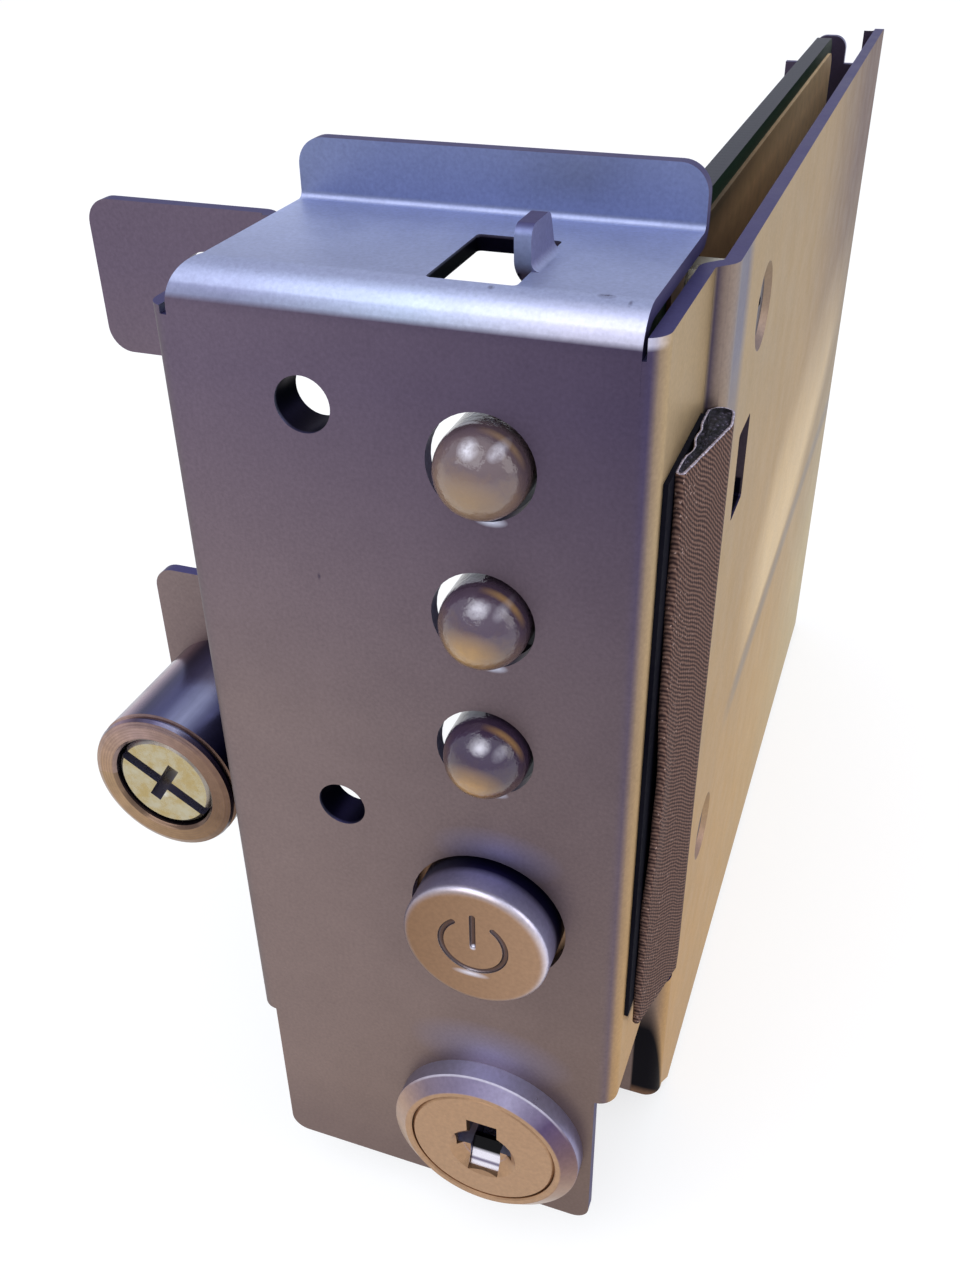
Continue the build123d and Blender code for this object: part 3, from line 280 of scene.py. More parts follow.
# Borders of the bracket's faces
FLANGE_TOP = 79.5
WINDOW_X, WINDOW_Y = (16.5, 21.6), (2.0, 11.1)
SLOT_Y, SLOT_Z = (21.2, 26.4), (50.0, 58.5)
WALL_REAR = 109
SHEET_EDGE = srgb(76, 72, 116)

# Scuffs along the upper bend: centre and radii
SCUFFS = [((17.3, 0.5, 79.2), (0.45, 0.5, 0.5)), ((20.9, 1.9, 79.5), (0.25, 0.25, 0.3)),
          ((25.0, 0.6, 79.3), (0.35, 0.3, 0.4)), ((26.8, 0.9, 79.4), (1.1, 0.22, 0.3)),
          ((27.2, 2.2, 79.5), (0.6, 0.3, 0.3)), ((28.6, 1.6, 79.5), (0.16, 0.5, 0.3)),
          ((7.2, 1.2, 79.4), (0.7, 0.2, 0.3)), ((9.8, 0.2, 60.4), (0.15, 0.5, 0.4))]


def plate_tone(n, x, y, z):
    """Front plate: a painted reflection, brown-grey at its foot, violet towards its top and darker
    to the right, with painted highlights along the bend and under the pipe holes and painted
    reflections of the lock and button.
    """
    height, across = n.rise(z, 0, 79), n.rise(x, 3, 30)
    # Painted reflection: brown-grey low down, violet towards the top, darker to the right.
    left = n.ramp(height, (0.1, srgb(138, 119, 113)), (0.62, srgb(129, 113, 112)),
                  (0.93, srgb(107, 94, 111)))
    right = n.ramp(height, (0.1, srgb(126, 107, 98)), (0.70, srgb(100, 87, 94)),
                   (0.93, srgb(76, 66, 88)))
    tone = n.mix(across, left, right)
    # Painted highlight on the lower rim of each pipe hole.
    for name in PIPE_NAMES:
        pipe_x, pipe_z = PIPES[name]
        rim = n.spot((pipe_x + 0.45, 0, pipe_z - 3.2), (1.1, 1.2, 0.42), 0.8)
        tone = n.layer(tone, rim, srgb(205, 208, 226))
    # Painted reflection of the lock's and the button's lit sides above them.
    painted_halo = n.most(n.spot((KEY_X, 0, KEY_Z + 9.6), (7.0, 1, 3.4), 0.9),
                  n.spot((BUTTON_X + 0.8, 0, BUTTON_Z + 6.5), (5.0, 1, 2.4), 0.9))
    tone = n.layer(tone, n.times(painted_halo, 0.55), srgb(134, 132, 164))
    tone = n.layer(tone, n.times(n.fall(z, 2, 9), 0.3), srgb(96, 80, 82))
    # Painted highlight along the upper bend, brighter to the right.
    bend = n.ramp(across, (0.10, srgb(150, 155, 184)), (0.50, srgb(188, 200, 224)),
                  (0.85, srgb(214, 212, 232)))
    in_bend = n.times(n.rise(z, 77.5, 77.85), n.fall(y, 2.5, 3.0), n.fall(z, 79.2, 79.42))
    tone = n.layer(tone, in_bend, bend)
    # Above the bend the front tone turns to the flange's painted pale blue.
    return n.mix(n.rise(z, 79.3, 79.9), tone, srgb(126, 136, 174))


def wall_tone(n, x, y, z):
    """Right wall: a painted tan reflection, darker to the upper rear, with a painted bright wedge
    and streak of reflection, painted light behind the joggle and painted shade in its fold.
    """
    # Painted warm reflection: tan, brighter low down and darker to the upper rear.
    depth = n.rise(y, 14, WALL_REAR)
    top = n.ramp(depth, (0.0, srgb(182, 158, 122)), (0.45, srgb(178, 151, 112)),
                 (0.85, srgb(120, 96, 90)))
    low = n.ramp(depth, (0.0, srgb(200, 160, 108)), (0.5, srgb(206, 172, 120)),
                 (1.0, srgb(206, 190, 152)))
    tone = n.mix(n.rise(z, 12, 66), low, top)
    # Painted reflection: a bright wedge above a streak along the wall.
    painted_wedge = n.band(n.math("MULTIPLY_ADD", y, -0.30, z), 13.0, 33.0, 3.0)
    painted_wedge = n.times(painted_wedge, n.rise(z, 32.8, 34.2), n.fall(z, 38, 58), n.band(y, 42, 100, 8.0))
    tone = n.layer(tone, n.times(painted_wedge, 0.75), srgb(246, 220, 176))
    # Painted reflection: a grey-blue streak along the wall.
    line = n.times(n.band(z, 30.4, 33.0, 0.8), n.band(y, 34, 112, 4.0))
    tone = n.layer(tone, n.times(line, 0.7), srgb(150, 142, 138))
    # Painted blue-grey light on the wall just behind the joggle.
    painted_joggle_light = n.times(n.band(y, 13.9, 18.5, 1.2), n.rise(z, 60, 72))
    tone = n.layer(tone, painted_joggle_light, srgb(126, 124, 142))
    # Painted shade in the joggle's fold.
    tone = n.layer(tone, n.band(y, 12.5, 13.0, 0.25), srgb(70, 62, 70))
    # Painted bluish light on the finger's side; the sheet's cut edges keep their darker tone.
    finger_or_edge = n.mix(n.rise(x, 28.0, 28.5), srgb(150, 150, 184), SHEET_EDGE)
    return n.mix(n.rise(x, 30.2, 30.6), finger_or_edge, tone)


def top_tone(n, y, z):
    """Top flange: a painted pale-blue reflection that brightens to the rear, and the darker cut
    edges of the lower sheets.
    """
    # Painted pale-blue reflection, brighter towards the rear.
    flange = n.mix(n.rise(y, 2, 15), srgb(160, 167, 198), srgb(186, 196, 232))
    on_flange = n.times(n.rise(z, 78.3, 78.45), n.fall(z, 79.8, 80.2))
    return n.mix(on_flange, SHEET_EDGE, flange)


def painted_opening_shade(n, tone, x, y, z):
    """Painted shade on the cut faces inside the window, the slot and the trim holes."""
    window = n.times(n.band(x, *WINDOW_X, 0.1), n.band(y, *WINDOW_Y, 0.1), n.fall(z, 79.3, 79.42))
    slot = n.times(n.band(y, *SLOT_Y, 0.1), n.band(z, *SLOT_Z, 0.1), n.fall(x, 32.0, 32.12))
    # Painted shade inside the window and the slot.
    tone = n.layer(tone, n.most(window, slot), srgb(14, 12, 32))
    upper, lower = (n.around(*hole)[0] for hole in TRIM_HOLES)
    # Painted shade in the bores of the trim holes.
    bore = n.times(n.fall(n.math("MINIMUM", upper, lower), 1.9, 2.5), n.rise(y, 0.03, 0.3))
    return n.layer(tone, bore, srgb(20, 16, 44))


def deep_corner(n, tone, x, y, z):
    """The corner of the wall under the gasket, painted in deep shade, with a painted warm
    reflection along its foot.
    """
    inward = n.most(n.math("SUBTRACT", y, 12.5), n.math("SUBTRACT", 15.8, z))
    shade = n.times(n.fall(n.math("MULTIPLY_ADD", z, 0.12, y), 15.4, 15.9), n.fall(z, 20.4, 21.2),
                    n.band(x, 29.6, 33.0, 0.1), n.rise(inward, -0.1, 0.1), n.rise(y, 5.5, 6.0))
    tone = n.layer(tone, shade, srgb(6, 5, 14))
    # Painted warm reflection along the foot of the shaded corner.
    foot = n.times(shade, n.fall(n.math("ADD", y, z), 13.8, 14.6))
    return n.layer(tone, foot, srgb(112, 84, 66))


def scuffed(n, tone):
    """Torn dark marks on the upper bend, and one scratch in front of the window, painted bright as
    a glint.
    """
    marks = n.most(*(n.spot(centre, radii, 0.7) for centre, radii in SCUFFS))
    torn = n.times(marks, n.grey(n.noise(2600, 3, 0.7), 0.25, 1.0, 0.35, 0.55), 0.8)
    tone = n.layer(tone, torn, srgb(52, 44, 66))
    # A scratch painted bright as a glint.
    scratch_glint = n.times(n.spot((22.6, 1.2, FLANGE_TOP), (0.7, 0.2, 0.3), 0.6), 0.8)
    return n.layer(tone, scratch_glint, srgb(226, 230, 244))


def zinc_sheet():
    """Satin zinc-plated sheet: a painted tone of light and reflection for each face of the fold,
    painted shade in its openings and under the gasket, fine grain and faint marks.
    """
    n = Nodes("zinc_sheet")
    n.set(Metallic=0.85, Specular_IOR_Level=0.3, Specular_Tint=(0.62, 0.60, 0.58, 1))
    x, y, z = n.point()
    # Painted light and reflection: a tone for each way the sheet faces.
    tone = n.facing(front=plate_tone(n, x, y, z), back=srgb(150, 146, 150),
                    right=wall_tone(n, x, y, z), left=srgb(112, 104, 110),
                    up=top_tone(n, y, z), down=srgb(120, 106, 98))
    # Painted shade in the openings and the corner under the gasket, then the scuffs with one
    # painted glint.
    tone = painted_opening_shade(n, tone, x, y, z)
    tone = deep_corner(n, tone, x, y, z)
    tone = scuffed(n, tone)
    grain = n.noise(3800, 2, 0.6)
    speck = n.math("MULTIPLY_ADD", grain, 0.30, n.times(n.noise(110, 5, 0.6), 0.18))
    n.to("Base Color", n.grained(tone, speck, 0.80, 1.10, low=0.12, high=0.36))
    n.to("Roughness", n.grey(n.noise(240, 5, 0.65), 0.38, 0.48))
    n.bump(n.math("ADD", grain, n.noise(1300, 3, 0.6)), 0.08, 0.00005)
    return n.mat


def plain_metal(name, colour, roughness):
    """Metal with a slight grain and change of colour."""
    n = Nodes(name)
    n.set(Metallic=0.85, Specular_IOR_Level=0.3)
    grain = n.noise(1500, 3, 0.6)
    n.to("Base Color", n.grained(colour, grain, 0.84, 1.06))
    n.to("Roughness", n.grey(n.noise(300, 4, 0.6), roughness * 0.85, roughness * 1.2))
    n.bump(grain, 0.05, 0.00005)
    return n.mat


def plain_plastic(name, colour, roughness, shine=0.5):
    """Moulded plastic with a fine spark-eroded grain."""
    n = Nodes(name)
    n.set(Specular_IOR_Level=shine)
    grain = n.noise(2200, 3, 0.6)
    light = tuple(min(1.0, c * 1.25 + 0.004) for c in colour)
    n.to("Base Color", n.ramp(n.noise(120, 3, 0.5), (0.3, colour), (0.7, light)))
    n.to("Roughness", n.grey(grain, roughness * 0.85, roughness * 1.15))
    n.bump(grain, 0.12, 0.00005)
    return n.mat


def frosted_pipe(name, axis_x, axis_z, crown, waist, painted_glow, lights):
    """Smoky, faintly pitted clear plastic with painted light: darker towards its crown, a painted
    tan glow at its foot and along its upper right rim, and painted shade round its rim.
    Each of its painted highlights has an offset from the axis in X and Z, two radii and a strength."""
    n = Nodes(name)
    n.set(Transmission_Weight=0.18, IOR=1.5, Specular_IOR_Level=0.7)
    x, y, z = n.point()
    pits = n.noise(1500, 3, 0.65)
    # Painted light: the smoky tone darkens towards the crown and a little to the right.
    upward = n.math("MULTIPLY_ADD", z, 0.5 / PIPE_R, 0.5 - 0.5 * axis_z / PIPE_R)
    rightward = n.math("MULTIPLY_ADD", x, 0.14 / PIPE_R, -0.14 * axis_x / PIPE_R)
    cloud = n.math("MULTIPLY_ADD", pits, 0.40, -0.20)
    share = n.math("ADD", n.math("ADD", upward, rightward), cloud)
    tone = n.ramp(share, (0.10, waist), (0.45, waist), (0.75, crown), (0.90, crown))
    # Painted tan glow at the foot.
    foot = n.spot((axis_x - 0.2, -2.2, axis_z - 0.75), (2.3, 3.6, 1.9), 0.75)
    tone = n.layer(tone, n.times(foot, n.grey(pits, 0.75, 1.0)), painted_glow)
    radius, turn = n.around(axis_x, axis_z)
    # Painted shade round the rim on the right and the top.
    rim = n.times(n.grey(radius, 0.0, 0.6, 2.5, 2.85), n.band(turn, 0.40, 0.88, 0.06))
    tone = n.layer(tone, rim, srgb(58, 44, 58))
    # Painted tan glow just inside the upper right edge.
    rim_glow = n.times(n.rise(radius, 2.72, 2.86), n.band(turn, 0.57, 0.72, 0.04),
                  n.fall(y, -0.7, -0.3), 0.9)
    tone = n.layer(tone, rim_glow, painted_glow)
    # Painted highlights.
    for dx, dz, wide, tall, strength in lights:
        light = n.spot((axis_x + dx, -2.0, axis_z + dz), (wide, 4.0, tall), 0.9)
        light = n.times(light, n.grey(pits, 0.4 * strength, strength, 0.35, 0.6))
        tone = n.layer(tone, light, srgb(240, 236, 248))
    n.to("Base Color", tone)
    n.to("Roughness", n.grey(pits, 0.04, 0.16))
    n.bump(pits, 0.5, 0.00012)
    return n.mat


WEAVE_PITCH = 0.33


def gasket_weave():
    """Conductive fabric with a fine wandering twill, and flecks near its front edge painted bright
    as glints.
    """
    n = Nodes("gasket_weave")
    n.set(Roughness=0.75, Specular_IOR_Level=0.08)
    _, y, z = n.point()
    sway = n.math("SINE", n.math("MULTIPLY_ADD", y, 1.25, 1.2))
    slant = n.math("MULTIPLY_ADD", sway, 0.15, n.times(y, 0.78))
    run = n.math("ADD", n.math("ADD", z, slant), n.times(n.noise(620, 3, 0.6), 0.5))
    rib = n.math("SINE", n.times(run, 2 * math.pi / WEAVE_PITCH))
    step = n.math("SINE", n.math("MULTIPLY_ADD", z, 6.0, n.times(y, 21.0)))
    height = n.math("MULTIPLY_ADD", n.math("MULTIPLY_ADD", step, 0.5, rib), 0.32, 0.5)
    thread = n.ramp(height, (0.10, srgb(44, 31, 31)), (0.5, srgb(84, 62, 56)),
                    (0.95, srgb(124, 96, 84)))
    # Flecks near the front edge, painted bright as glints.
    fleck_glint = n.times(n.rise(n.noise(4200, 1, 0.5), 0.66, 0.74), n.grey(y, 0.7, 0.1, 4.0, 9.0))
    n.to("Base Color", n.mix(fleck_glint, thread, srgb(176, 150, 140)))
    n.bump(height, 0.4, 0.00006)
    return n.mat


def cut_fabric():
    """The fabric's cut edge, where the bright metal in it shows."""
    n = Nodes("gasket_cut_edge")
    n.set(Metallic=0.4)
    fray = n.noise(5200, 2, 0.6)
    n.to("Base Color", n.ramp(fray, (0.35, srgb(120, 110, 130)), (0.65, srgb(214, 206, 222))))
    n.to("Roughness", n.grey(fray, 0.35, 0.6))
    n.bump(fray, 0.5, 0.00008)
    return n.mat


def foam_black():
    """Open black foam with pale specks."""
    n = Nodes("foam_black")
    n.set(Roughness=0.85)
    cells = n.add("ShaderNodeTexVoronoi")
    cells.inputs["Scale"].default_value = 3000
    n.link(n.coord, cells.inputs["Vector"])
    n.to("Base Color", n.ramp(cells.outputs["Distance"], (0.0, srgb(120, 112, 136)),
                              (0.30, srgb(40, 36, 52)), (0.8, srgb(12, 11, 20))))
    n.bump(cells.outputs["Distance"], 0.8, 0.0002)
    return n.mat


def board_green():
    """Solder mask over faint tracks, with a bare dark laminate edge."""
    n = Nodes("board_green")
    n.set(Roughness=0.5, Specular_IOR_Level=0.12)
    mapping = n.add("ShaderNodeMapping")
    mapping.inputs["Rotation"].default_value = (0, math.pi / 2, 0)
    n.link(n.coord, mapping.inputs["Vector"])
    tracks = n.add("ShaderNodeTexBrick")
    n.link(mapping.outputs[0], tracks.inputs["Vector"])
    tracks.inputs["Scale"].default_value = 260
    tracks.inputs["Mortar Size"].default_value = 0.05
    for socket, colour in (("Color1", srgb(14, 46, 30)), ("Color2", srgb(18, 54, 34)),
                           ("Mortar", srgb(30, 78, 46))):
        tracks.inputs[socket].default_value = colour
    sideways = n.split(n.add("ShaderNodeNewGeometry").outputs["True Normal"])["X"]
    right = n.math("GREATER_THAN", sideways, 0.7)
    mask = n.mix(right, tracks.outputs["Color"], srgb(14, 40, 26))
    face = n.math("GREATER_THAN", n.math("ABSOLUTE", sideways), 0.7)
    n.to("Base Color", n.mix(face, srgb(42, 42, 50), mask))
    n.bump(tracks.outputs["Fac"], 0.3, 0.00005)
    return n.mat


def film_tan():
    """Thin fibrous tan insulating film with painted light and shade: near black towards the front
    and the bottom, bright towards the upper rear, and painted shade along its top edge.
    """
    n = Nodes("film_tan")
    n.set(Roughness=0.55, Specular_IOR_Level=0.2)
    _, y, z = n.point()
    # Painted light and shade: near black at the front and the bottom, bright tan at the upper rear.
    depth = n.math("ADD", n.grey(y, 0.0, 0.75, 16, 90), n.grey(z, 0.0, 0.25, 40, 76))
    tone = n.ramp(depth, (0.05, srgb(20, 15, 16)), (0.30, srgb(112, 82, 60)),
                  (0.60, srgb(220, 178, 128)), (0.90, srgb(250, 214, 164)))
    # Painted shade along the top edge, fading to the rear.
    shade = n.times(n.grey(z, 0.0, 0.8, 73.6, 75.6), n.grey(y, 1.0, 0.4, 30, 100))
    tone = n.layer(tone, shade, srgb(16, 30, 26))
    n.to("Base Color", n.grained(tone, n.noise(500, 5, 0.65), 0.8, 1.1, blue=0.0))
    n.bump(n.noise(1800, 2), 0.15, 0.00005)
    return n.mat


def sleeve_nickel():
    """Turned, plated sleeve: painted streaks of reflection along its barrel, and fine rings on its
    face, whose brown is a painted reflection that changes round it.
    """
    n = Nodes("sleeve_nickel")
    n.set(Metallic=0.9, Specular_IOR_Level=0.4)
    radius, turn = n.around(SLEEVE_X, SLEEVE_Z)
    # Painted reflections: streaks that change round the barrel.
    barrel_reflections = n.ramp(turn, (0.40, srgb(60, 50, 60)), (0.53, srgb(16, 16, 46)),
                    (0.60, srgb(30, 30, 66)), (0.665, srgb(84, 84, 118)),
                    (0.70, srgb(140, 142, 170)), (0.745, srgb(84, 84, 120)),
                    (0.79, srgb(50, 45, 76)), (0.835, srgb(140, 114, 130)),
                    (0.875, srgb(74, 66, 92)), (0.97, srgb(120, 108, 118)))
    # Painted reflection on the face, brown and changing round it.
    face = n.ramp(turn, (0.10, srgb(166, 136, 102)), (0.25, srgb(150, 120, 88)),
                  (0.45, srgb(112, 86, 64)), (0.62, srgb(130, 102, 84)),
                  (0.80, srgb(164, 138, 132)), (0.97, srgb(172, 140, 112)))
    rings = n.math("SINE", n.times(radius, 26.0))
    face = n.mix(n.grey(rings, 0.0, 0.35, -1.0, 1.0), face, srgb(120, 94, 86))
    tone = n.facing(front=face, back=face, right=barrel_reflections, left=barrel_reflections, up=barrel_reflections, down=barrel_reflections)
    grain = n.noise(1400, 3, 0.6, stretch=(1, 0.1, 1))
    n.to("Base Color", n.grained(tone, grain, 0.86, 1.08))
    n.to("Roughness", n.grey(n.noise(420, 4, 0.6), 0.16, 0.28))
    n.bump(n.math("ADD", rings, grain), 0.06, 0.00004)
    return n.mat


def screw_zinc():
    """Yellow-passivated screw head, with painted bluish reflections on its sides and a painted
    glint on the lower wall of its recess.
    """
    n = Nodes("screw_yellow_zinc")
    n.set(Metallic=0.85, Specular_IOR_Level=0.3)
    cloud = n.noise(900, 4, 0.6)
    face = n.ramp(cloud, (0.35, srgb(172, 152, 104)), (0.65, srgb(184, 176, 150)))
    # Painted bluish reflections on the head's sides.
    tone = n.facing(front=face, back=face, right=srgb(112, 110, 140), left=srgb(118, 116, 146),
                    up=srgb(116, 116, 150), down=srgb(120, 108, 104))
    # Painted glint on the lower wall of the recess.
    glint = n.times(n.spot((SLEEVE_X - 0.3, 1.0, SLEEVE_Z - 1.2), (0.75, 6.0, 0.5), 0.8),
                    n.grey(n.noise(2600, 2), 0.3, 1.0))
    n.to("Base Color", n.layer(tone, glint, srgb(232, 230, 226)))
    n.to("Roughness", n.grey(cloud, 0.22, 0.34))
    n.bump(n.noise(1800, 3, 0.6), 0.06, 0.00004)
    return n.mat


def lock_nickel():
    """Plated lock: a brown face and a bevel that turns from brown to blue at its top, both painted
    reflections, a painted highlight on the bevel's upper lip, and a side painted lighter on top.
    """
    n = Nodes("lock_nickel")
    n.set(Metallic=0.85, Specular_IOR_Level=0.3)
    _, y, _ = n.point()
    radius, turn = n.around(KEY_X, KEY_Z)
    # Painted reflections round the bevel: brown below, blue and bright at the top.
    bevel_reflection = n.ramp(turn, (0.02, srgb(176, 144, 118)), (0.25, srgb(166, 133, 104)),
                   (0.45, srgb(150, 118, 98)), (0.55, srgb(112, 88, 96)),
                   (0.62, srgb(92, 76, 108)), (0.70, srgb(176, 168, 198)),
                   (0.77, srgb(150, 140, 170)), (0.86, srgb(124, 110, 124)),
                   (0.95, srgb(170, 140, 120)))
    # Painted reflection: the face inside the bevel is brown.
    face = n.mix(n.band(radius, 6.75, 20, 0.08), srgb(172, 137, 106), bevel_reflection)
    # Painted highlight on the bevel's upper outer lip.
    lip = n.times(n.band(radius, 7.86, 8.1, 0.04), n.band(turn, 0.62, 0.86, 0.05), 0.8)
    face = n.layer(face, lip, srgb(226, 222, 236))
    # Painted light on the side: lighter on top.
    side = n.facing(front=face, back=face, right=srgb(136, 130, 164), left=srgb(120, 112, 134),
                    up=srgb(190, 190, 222), down=srgb(120, 108, 104))
    tone = n.mix(n.rise(y, -1.52, -1.40), face, side)
    grain = n.noise(2600, 3, 0.6)
    n.to("Base Color", n.grained(tone, grain, 0.88, 1.06))
    n.to("Roughness", n.grey(n.noise(300, 4, 0.6), 0.26, 0.38))
    n.bump(grain, 0.05, 0.00004)
    return n.mat


def button_satin():
    """Satin button: a brown face painted as a reflection, lighter to the right, painted shade in
    the pressed symbol with painted highlights on its lower lips, and a bluish side with a painted
    highlight at its rim and painted shade near the plate.
    """
    n = Nodes("button_satin")
    n.set(Metallic=0.85, Specular_IOR_Level=0.3)
    x, y, _ = n.point()
    # Painted reflection: the face is brown, lighter to the right.
    face = n.mix(n.rise(x, 15.5, 26), srgb(134, 102, 76), srgb(160, 127, 100))
    # Painted light on the side: a highlight at the rim, painted shade near the plate.
    lit = n.ramp(n.rise(y, BUTTON_FACE, 0.0), (0.05, srgb(236, 232, 246)),
                 (0.22, srgb(168, 168, 204)), (0.60, srgb(140, 140, 180)), (0.80, srgb(22, 20, 56)))
    tone = n.facing(front=face, back=face, right=lit, left=srgb(124, 118, 140),
                    up=lit, down=srgb(140, 116, 96))
    radius = n.around(BUTTON_X, BUTTON_Z)[0]
    # Painted shade in the pressed symbol.
    groove_shade = n.times(n.rise(y, BUTTON_FACE + 0.01, BUTTON_FACE + 0.06), n.fall(radius, 3.3, 3.5),
                     n.fall(y, -2.6, -2.4), 0.85)
    tone = n.layer(tone, groove_shade, srgb(70, 50, 46))
    # Painted highlights on the symbol's lower lips.
    below_ring = n.spot((BUTTON_X - 0.2, BUTTON_FACE, BUTTON_Z - 2.6), (1.5, 0.5, 0.34), 0.9)
    below_bar = n.spot((BUTTON_X, BUTTON_FACE + 0.1, BUTTON_Z + 0.08), (0.26, 0.5, 0.22), 0.6)
    glint = n.times(n.most(below_ring, below_bar), 0.85)
    tone = n.layer(tone, glint, srgb(226, 224, 238))
    grain = n.noise(3000, 3, 0.6)
    n.to("Base Color", n.grained(tone, grain, 0.90, 1.05))
    n.to("Roughness", n.grey(n.noise(300, 4, 0.6), 0.30, 0.40))
    n.bump(grain, 0.04, 0.00004)
    return n.mat


def shutter_steel():
    """Spring shutter in the keyway, painted bright where light falls on it, with a dark line across
    the painted highlight and painted shadow under the upper lip.
    """
    n = Nodes("shutter_steel")
    n.set(Metallic=0.8, Roughness=0.25)
    z = n.point()[2]
    # Painted highlight: the shutter bright where light falls, crossed by a dark line.
    tone = n.mix(n.band(z, 5.9, 6.15, 0.08), srgb(232, 228, 238), srgb(120, 112, 134))
    # Painted shadow under the upper lip.
    n.to("Base Color", n.layer(tone, n.rise(z, 6.7, 6.95), srgb(8, 7, 10)))
    n.bump(n.noise(2400, 3, 0.6), 0.1, 0.00005)
    return n.mat


def lamp_plastic():
    """Water-clear lamp body."""
    n = Nodes("lamp_clear")
    n.set(Transmission_Weight=0.9, IOR=1.5, Roughness=0.08)
    n.to("Base Color", n.ramp(n.noise(400), (0.3, (0.80, 0.80, 0.76)), (0.7, (0.9, 0.9, 0.86))))
    n.bump(n.noise(900), 0.05, 0.00005)
    return n.mat


# For each pipe: the painted tones of its crown, waist and foot glow, and its two painted highlights
PIPE_LOOKS = {
    "upper": (srgb(112, 94, 98), srgb(134, 110, 96), srgb(158, 128, 94),
              ((-0.15, 2.1, 0.70, 0.55, 0.95), (1.45, 2.0, 0.55, 0.50, 0.8))),
    "middle": (srgb(86, 70, 88), srgb(112, 90, 82), srgb(186, 144, 84),
               ((0.27, 2.15, 0.80, 0.50, 0.75), (1.6, 1.95, 0.50, 0.50, 0.35))),
    "lower": (srgb(64, 48, 74), srgb(84, 64, 66), srgb(184, 140, 82),
              ((0.25, 2.1, 0.75, 0.50, 0.75), (1.5, 1.75, 0.50, 0.50, 0.35)))}

dress(zinc_sheet(), "bracket")
dress(plain_metal("zinc_screw", srgb(150, 146, 146), 0.32),
      "board_screws", "key_nut", "key_lock_washer")
dress(plain_metal("wall_screw_dark", srgb(70, 66, 84), 0.35), "wall_screws")
dress(plain_metal("standoff_nickel", srgb(190, 184, 168), 0.28), "board_standoffs")
dress(plain_metal("tinned", srgb(206, 204, 206), 0.22), "header_pins", "chip_legs", "key_terminals")
dress(plain_metal("spring_steel", srgb(150, 150, 154), 0.25), "captive_spring", "button_spring")
dress(plain_metal("can_aluminium", srgb(205, 205, 208), 0.30), "board_capacitor")
dress(plain_plastic("black_plastic", (0.012, 0.012, 0.014), 0.5), "board_header",
      "led_holder_upper", "led_holder_middle", "led_holder_lower")
dress(plain_plastic("switch_plastic", (0.02, 0.02, 0.022), 0.42),
      "power_switch_body", "key_contact_block")
dress(plain_plastic("chip_black", (0.010, 0.010, 0.011), 0.55), "driver_chip", "chip_resistors")
dress(plain_plastic("nylon", (0.70, 0.70, 0.64), 0.4), "captive_washer", "power_switch_plunger")
dress(plain_plastic("tape_black", (0.002, 0.002, 0.006), 0.9, shine=0.05), "gasket_tape")
dress(lamp_plastic(), "led_upper", "led_middle", "led_lower")
dress(lock_nickel(), "key_switch_body", "key_plug")
dress(shutter_steel(), "key_shutter")
dress(sleeve_nickel(), "captive_sleeve")
dress(screw_zinc(), "captive_screw")
dress(button_satin(), "power_button")
dress(board_green(), "circuit_board")
dress(film_tan(), "insulator_sheet")
for pipe in PIPE_NAMES:
    frosted = frosted_pipe("frosted_pipe_" + pipe, *PIPES[pipe], *PIPE_LOOKS[pipe])
    dress(frosted, "light_pipe_" + pipe)
WEAVE = gasket_weave()
FOAM = foam_black()
dress(WEAVE, "gasket_fabric")
dress(FOAM, "gasket_foam")

# Gasket: a fabric tube round foam, with a crinkled wall side and cut ends. Its section has three
# round corners that touch the wall, each given as a radius and a distance from the front.
GASKET_LOW, GASKET_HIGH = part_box("gasket_fabric")
GASKET_CORNERS = [(0.30, 0.30), (0.95, 7.6), (0.86, 9.24)]
OUTLINE_STEPS = 720
GASKET_POINTS = 96
GASKET_SLICES = 120
FABRIC_THICK = 0.16
FOAM_RINGS = 7
FABRIC_SLOT, CUT_SLOT, FOAM_SLOT = 0, 1, 2

# In metres: how deep the fabric creases at a cut end and how far along, its slight wave, how far
# the front edge stands off the wall, the lower end's slant and its reach, and how deep foam sits
CREASE_DEPTH, CREASE_REACH = 0.00030, 0.0025
WAVE = 0.00003
LIFT = 0.00034
SLANT, SLANT_REACH = 0.0016, 0.004
FOAM_SUNK = 0.00014


def hump(value, centre, width):
    """A bell curve of height 1."""
    return math.exp(-((value - centre) / width) ** 2)


def gasket_outline(inset):
    """The section's outline in the row frame's metres, evenly spaced, inset by some millimetres."""
    raw = []
    for i in range(OUTLINE_STEPS):
        angle = 2 * math.pi * i / OUTLINE_STEPS
        dx, dy = math.cos(angle), math.sin(angle)
        r, y = max(GASKET_CORNERS, key=lambda c: c[0] * dx + c[1] * dy + c[0])
        raw.append(Vector((r + (r - inset) * dx, y + (r - inset) * dy)))
    lengths = [0.0]
    for a, b in zip(raw, raw[1:] + raw[:1]):
        lengths.append(lengths[-1] + (b - a).length)
    points, k = [], 0
    for i in range(GASKET_POINTS):
        at = lengths[-1] * i / GASKET_POINTS
        while lengths[k + 1] < at:
            k += 1
        part = (at - lengths[k]) / max(lengths[k + 1] - lengths[k], 1e-9)
        point = raw[k].lerp(raw[(k + 1) % len(raw)], part)
        points.append(Vector((GASKET_LOW[0] + point.x / MM, GASKET_LOW[1] + point.y / MM)))
    return points


def along_gasket(value, i):
    """Where a coordinate lies in the gasket's box, from 0 to 1."""
    return (value - GASKET_LOW[i]) / (GASKET_HIGH[i] - GASKET_LOW[i])


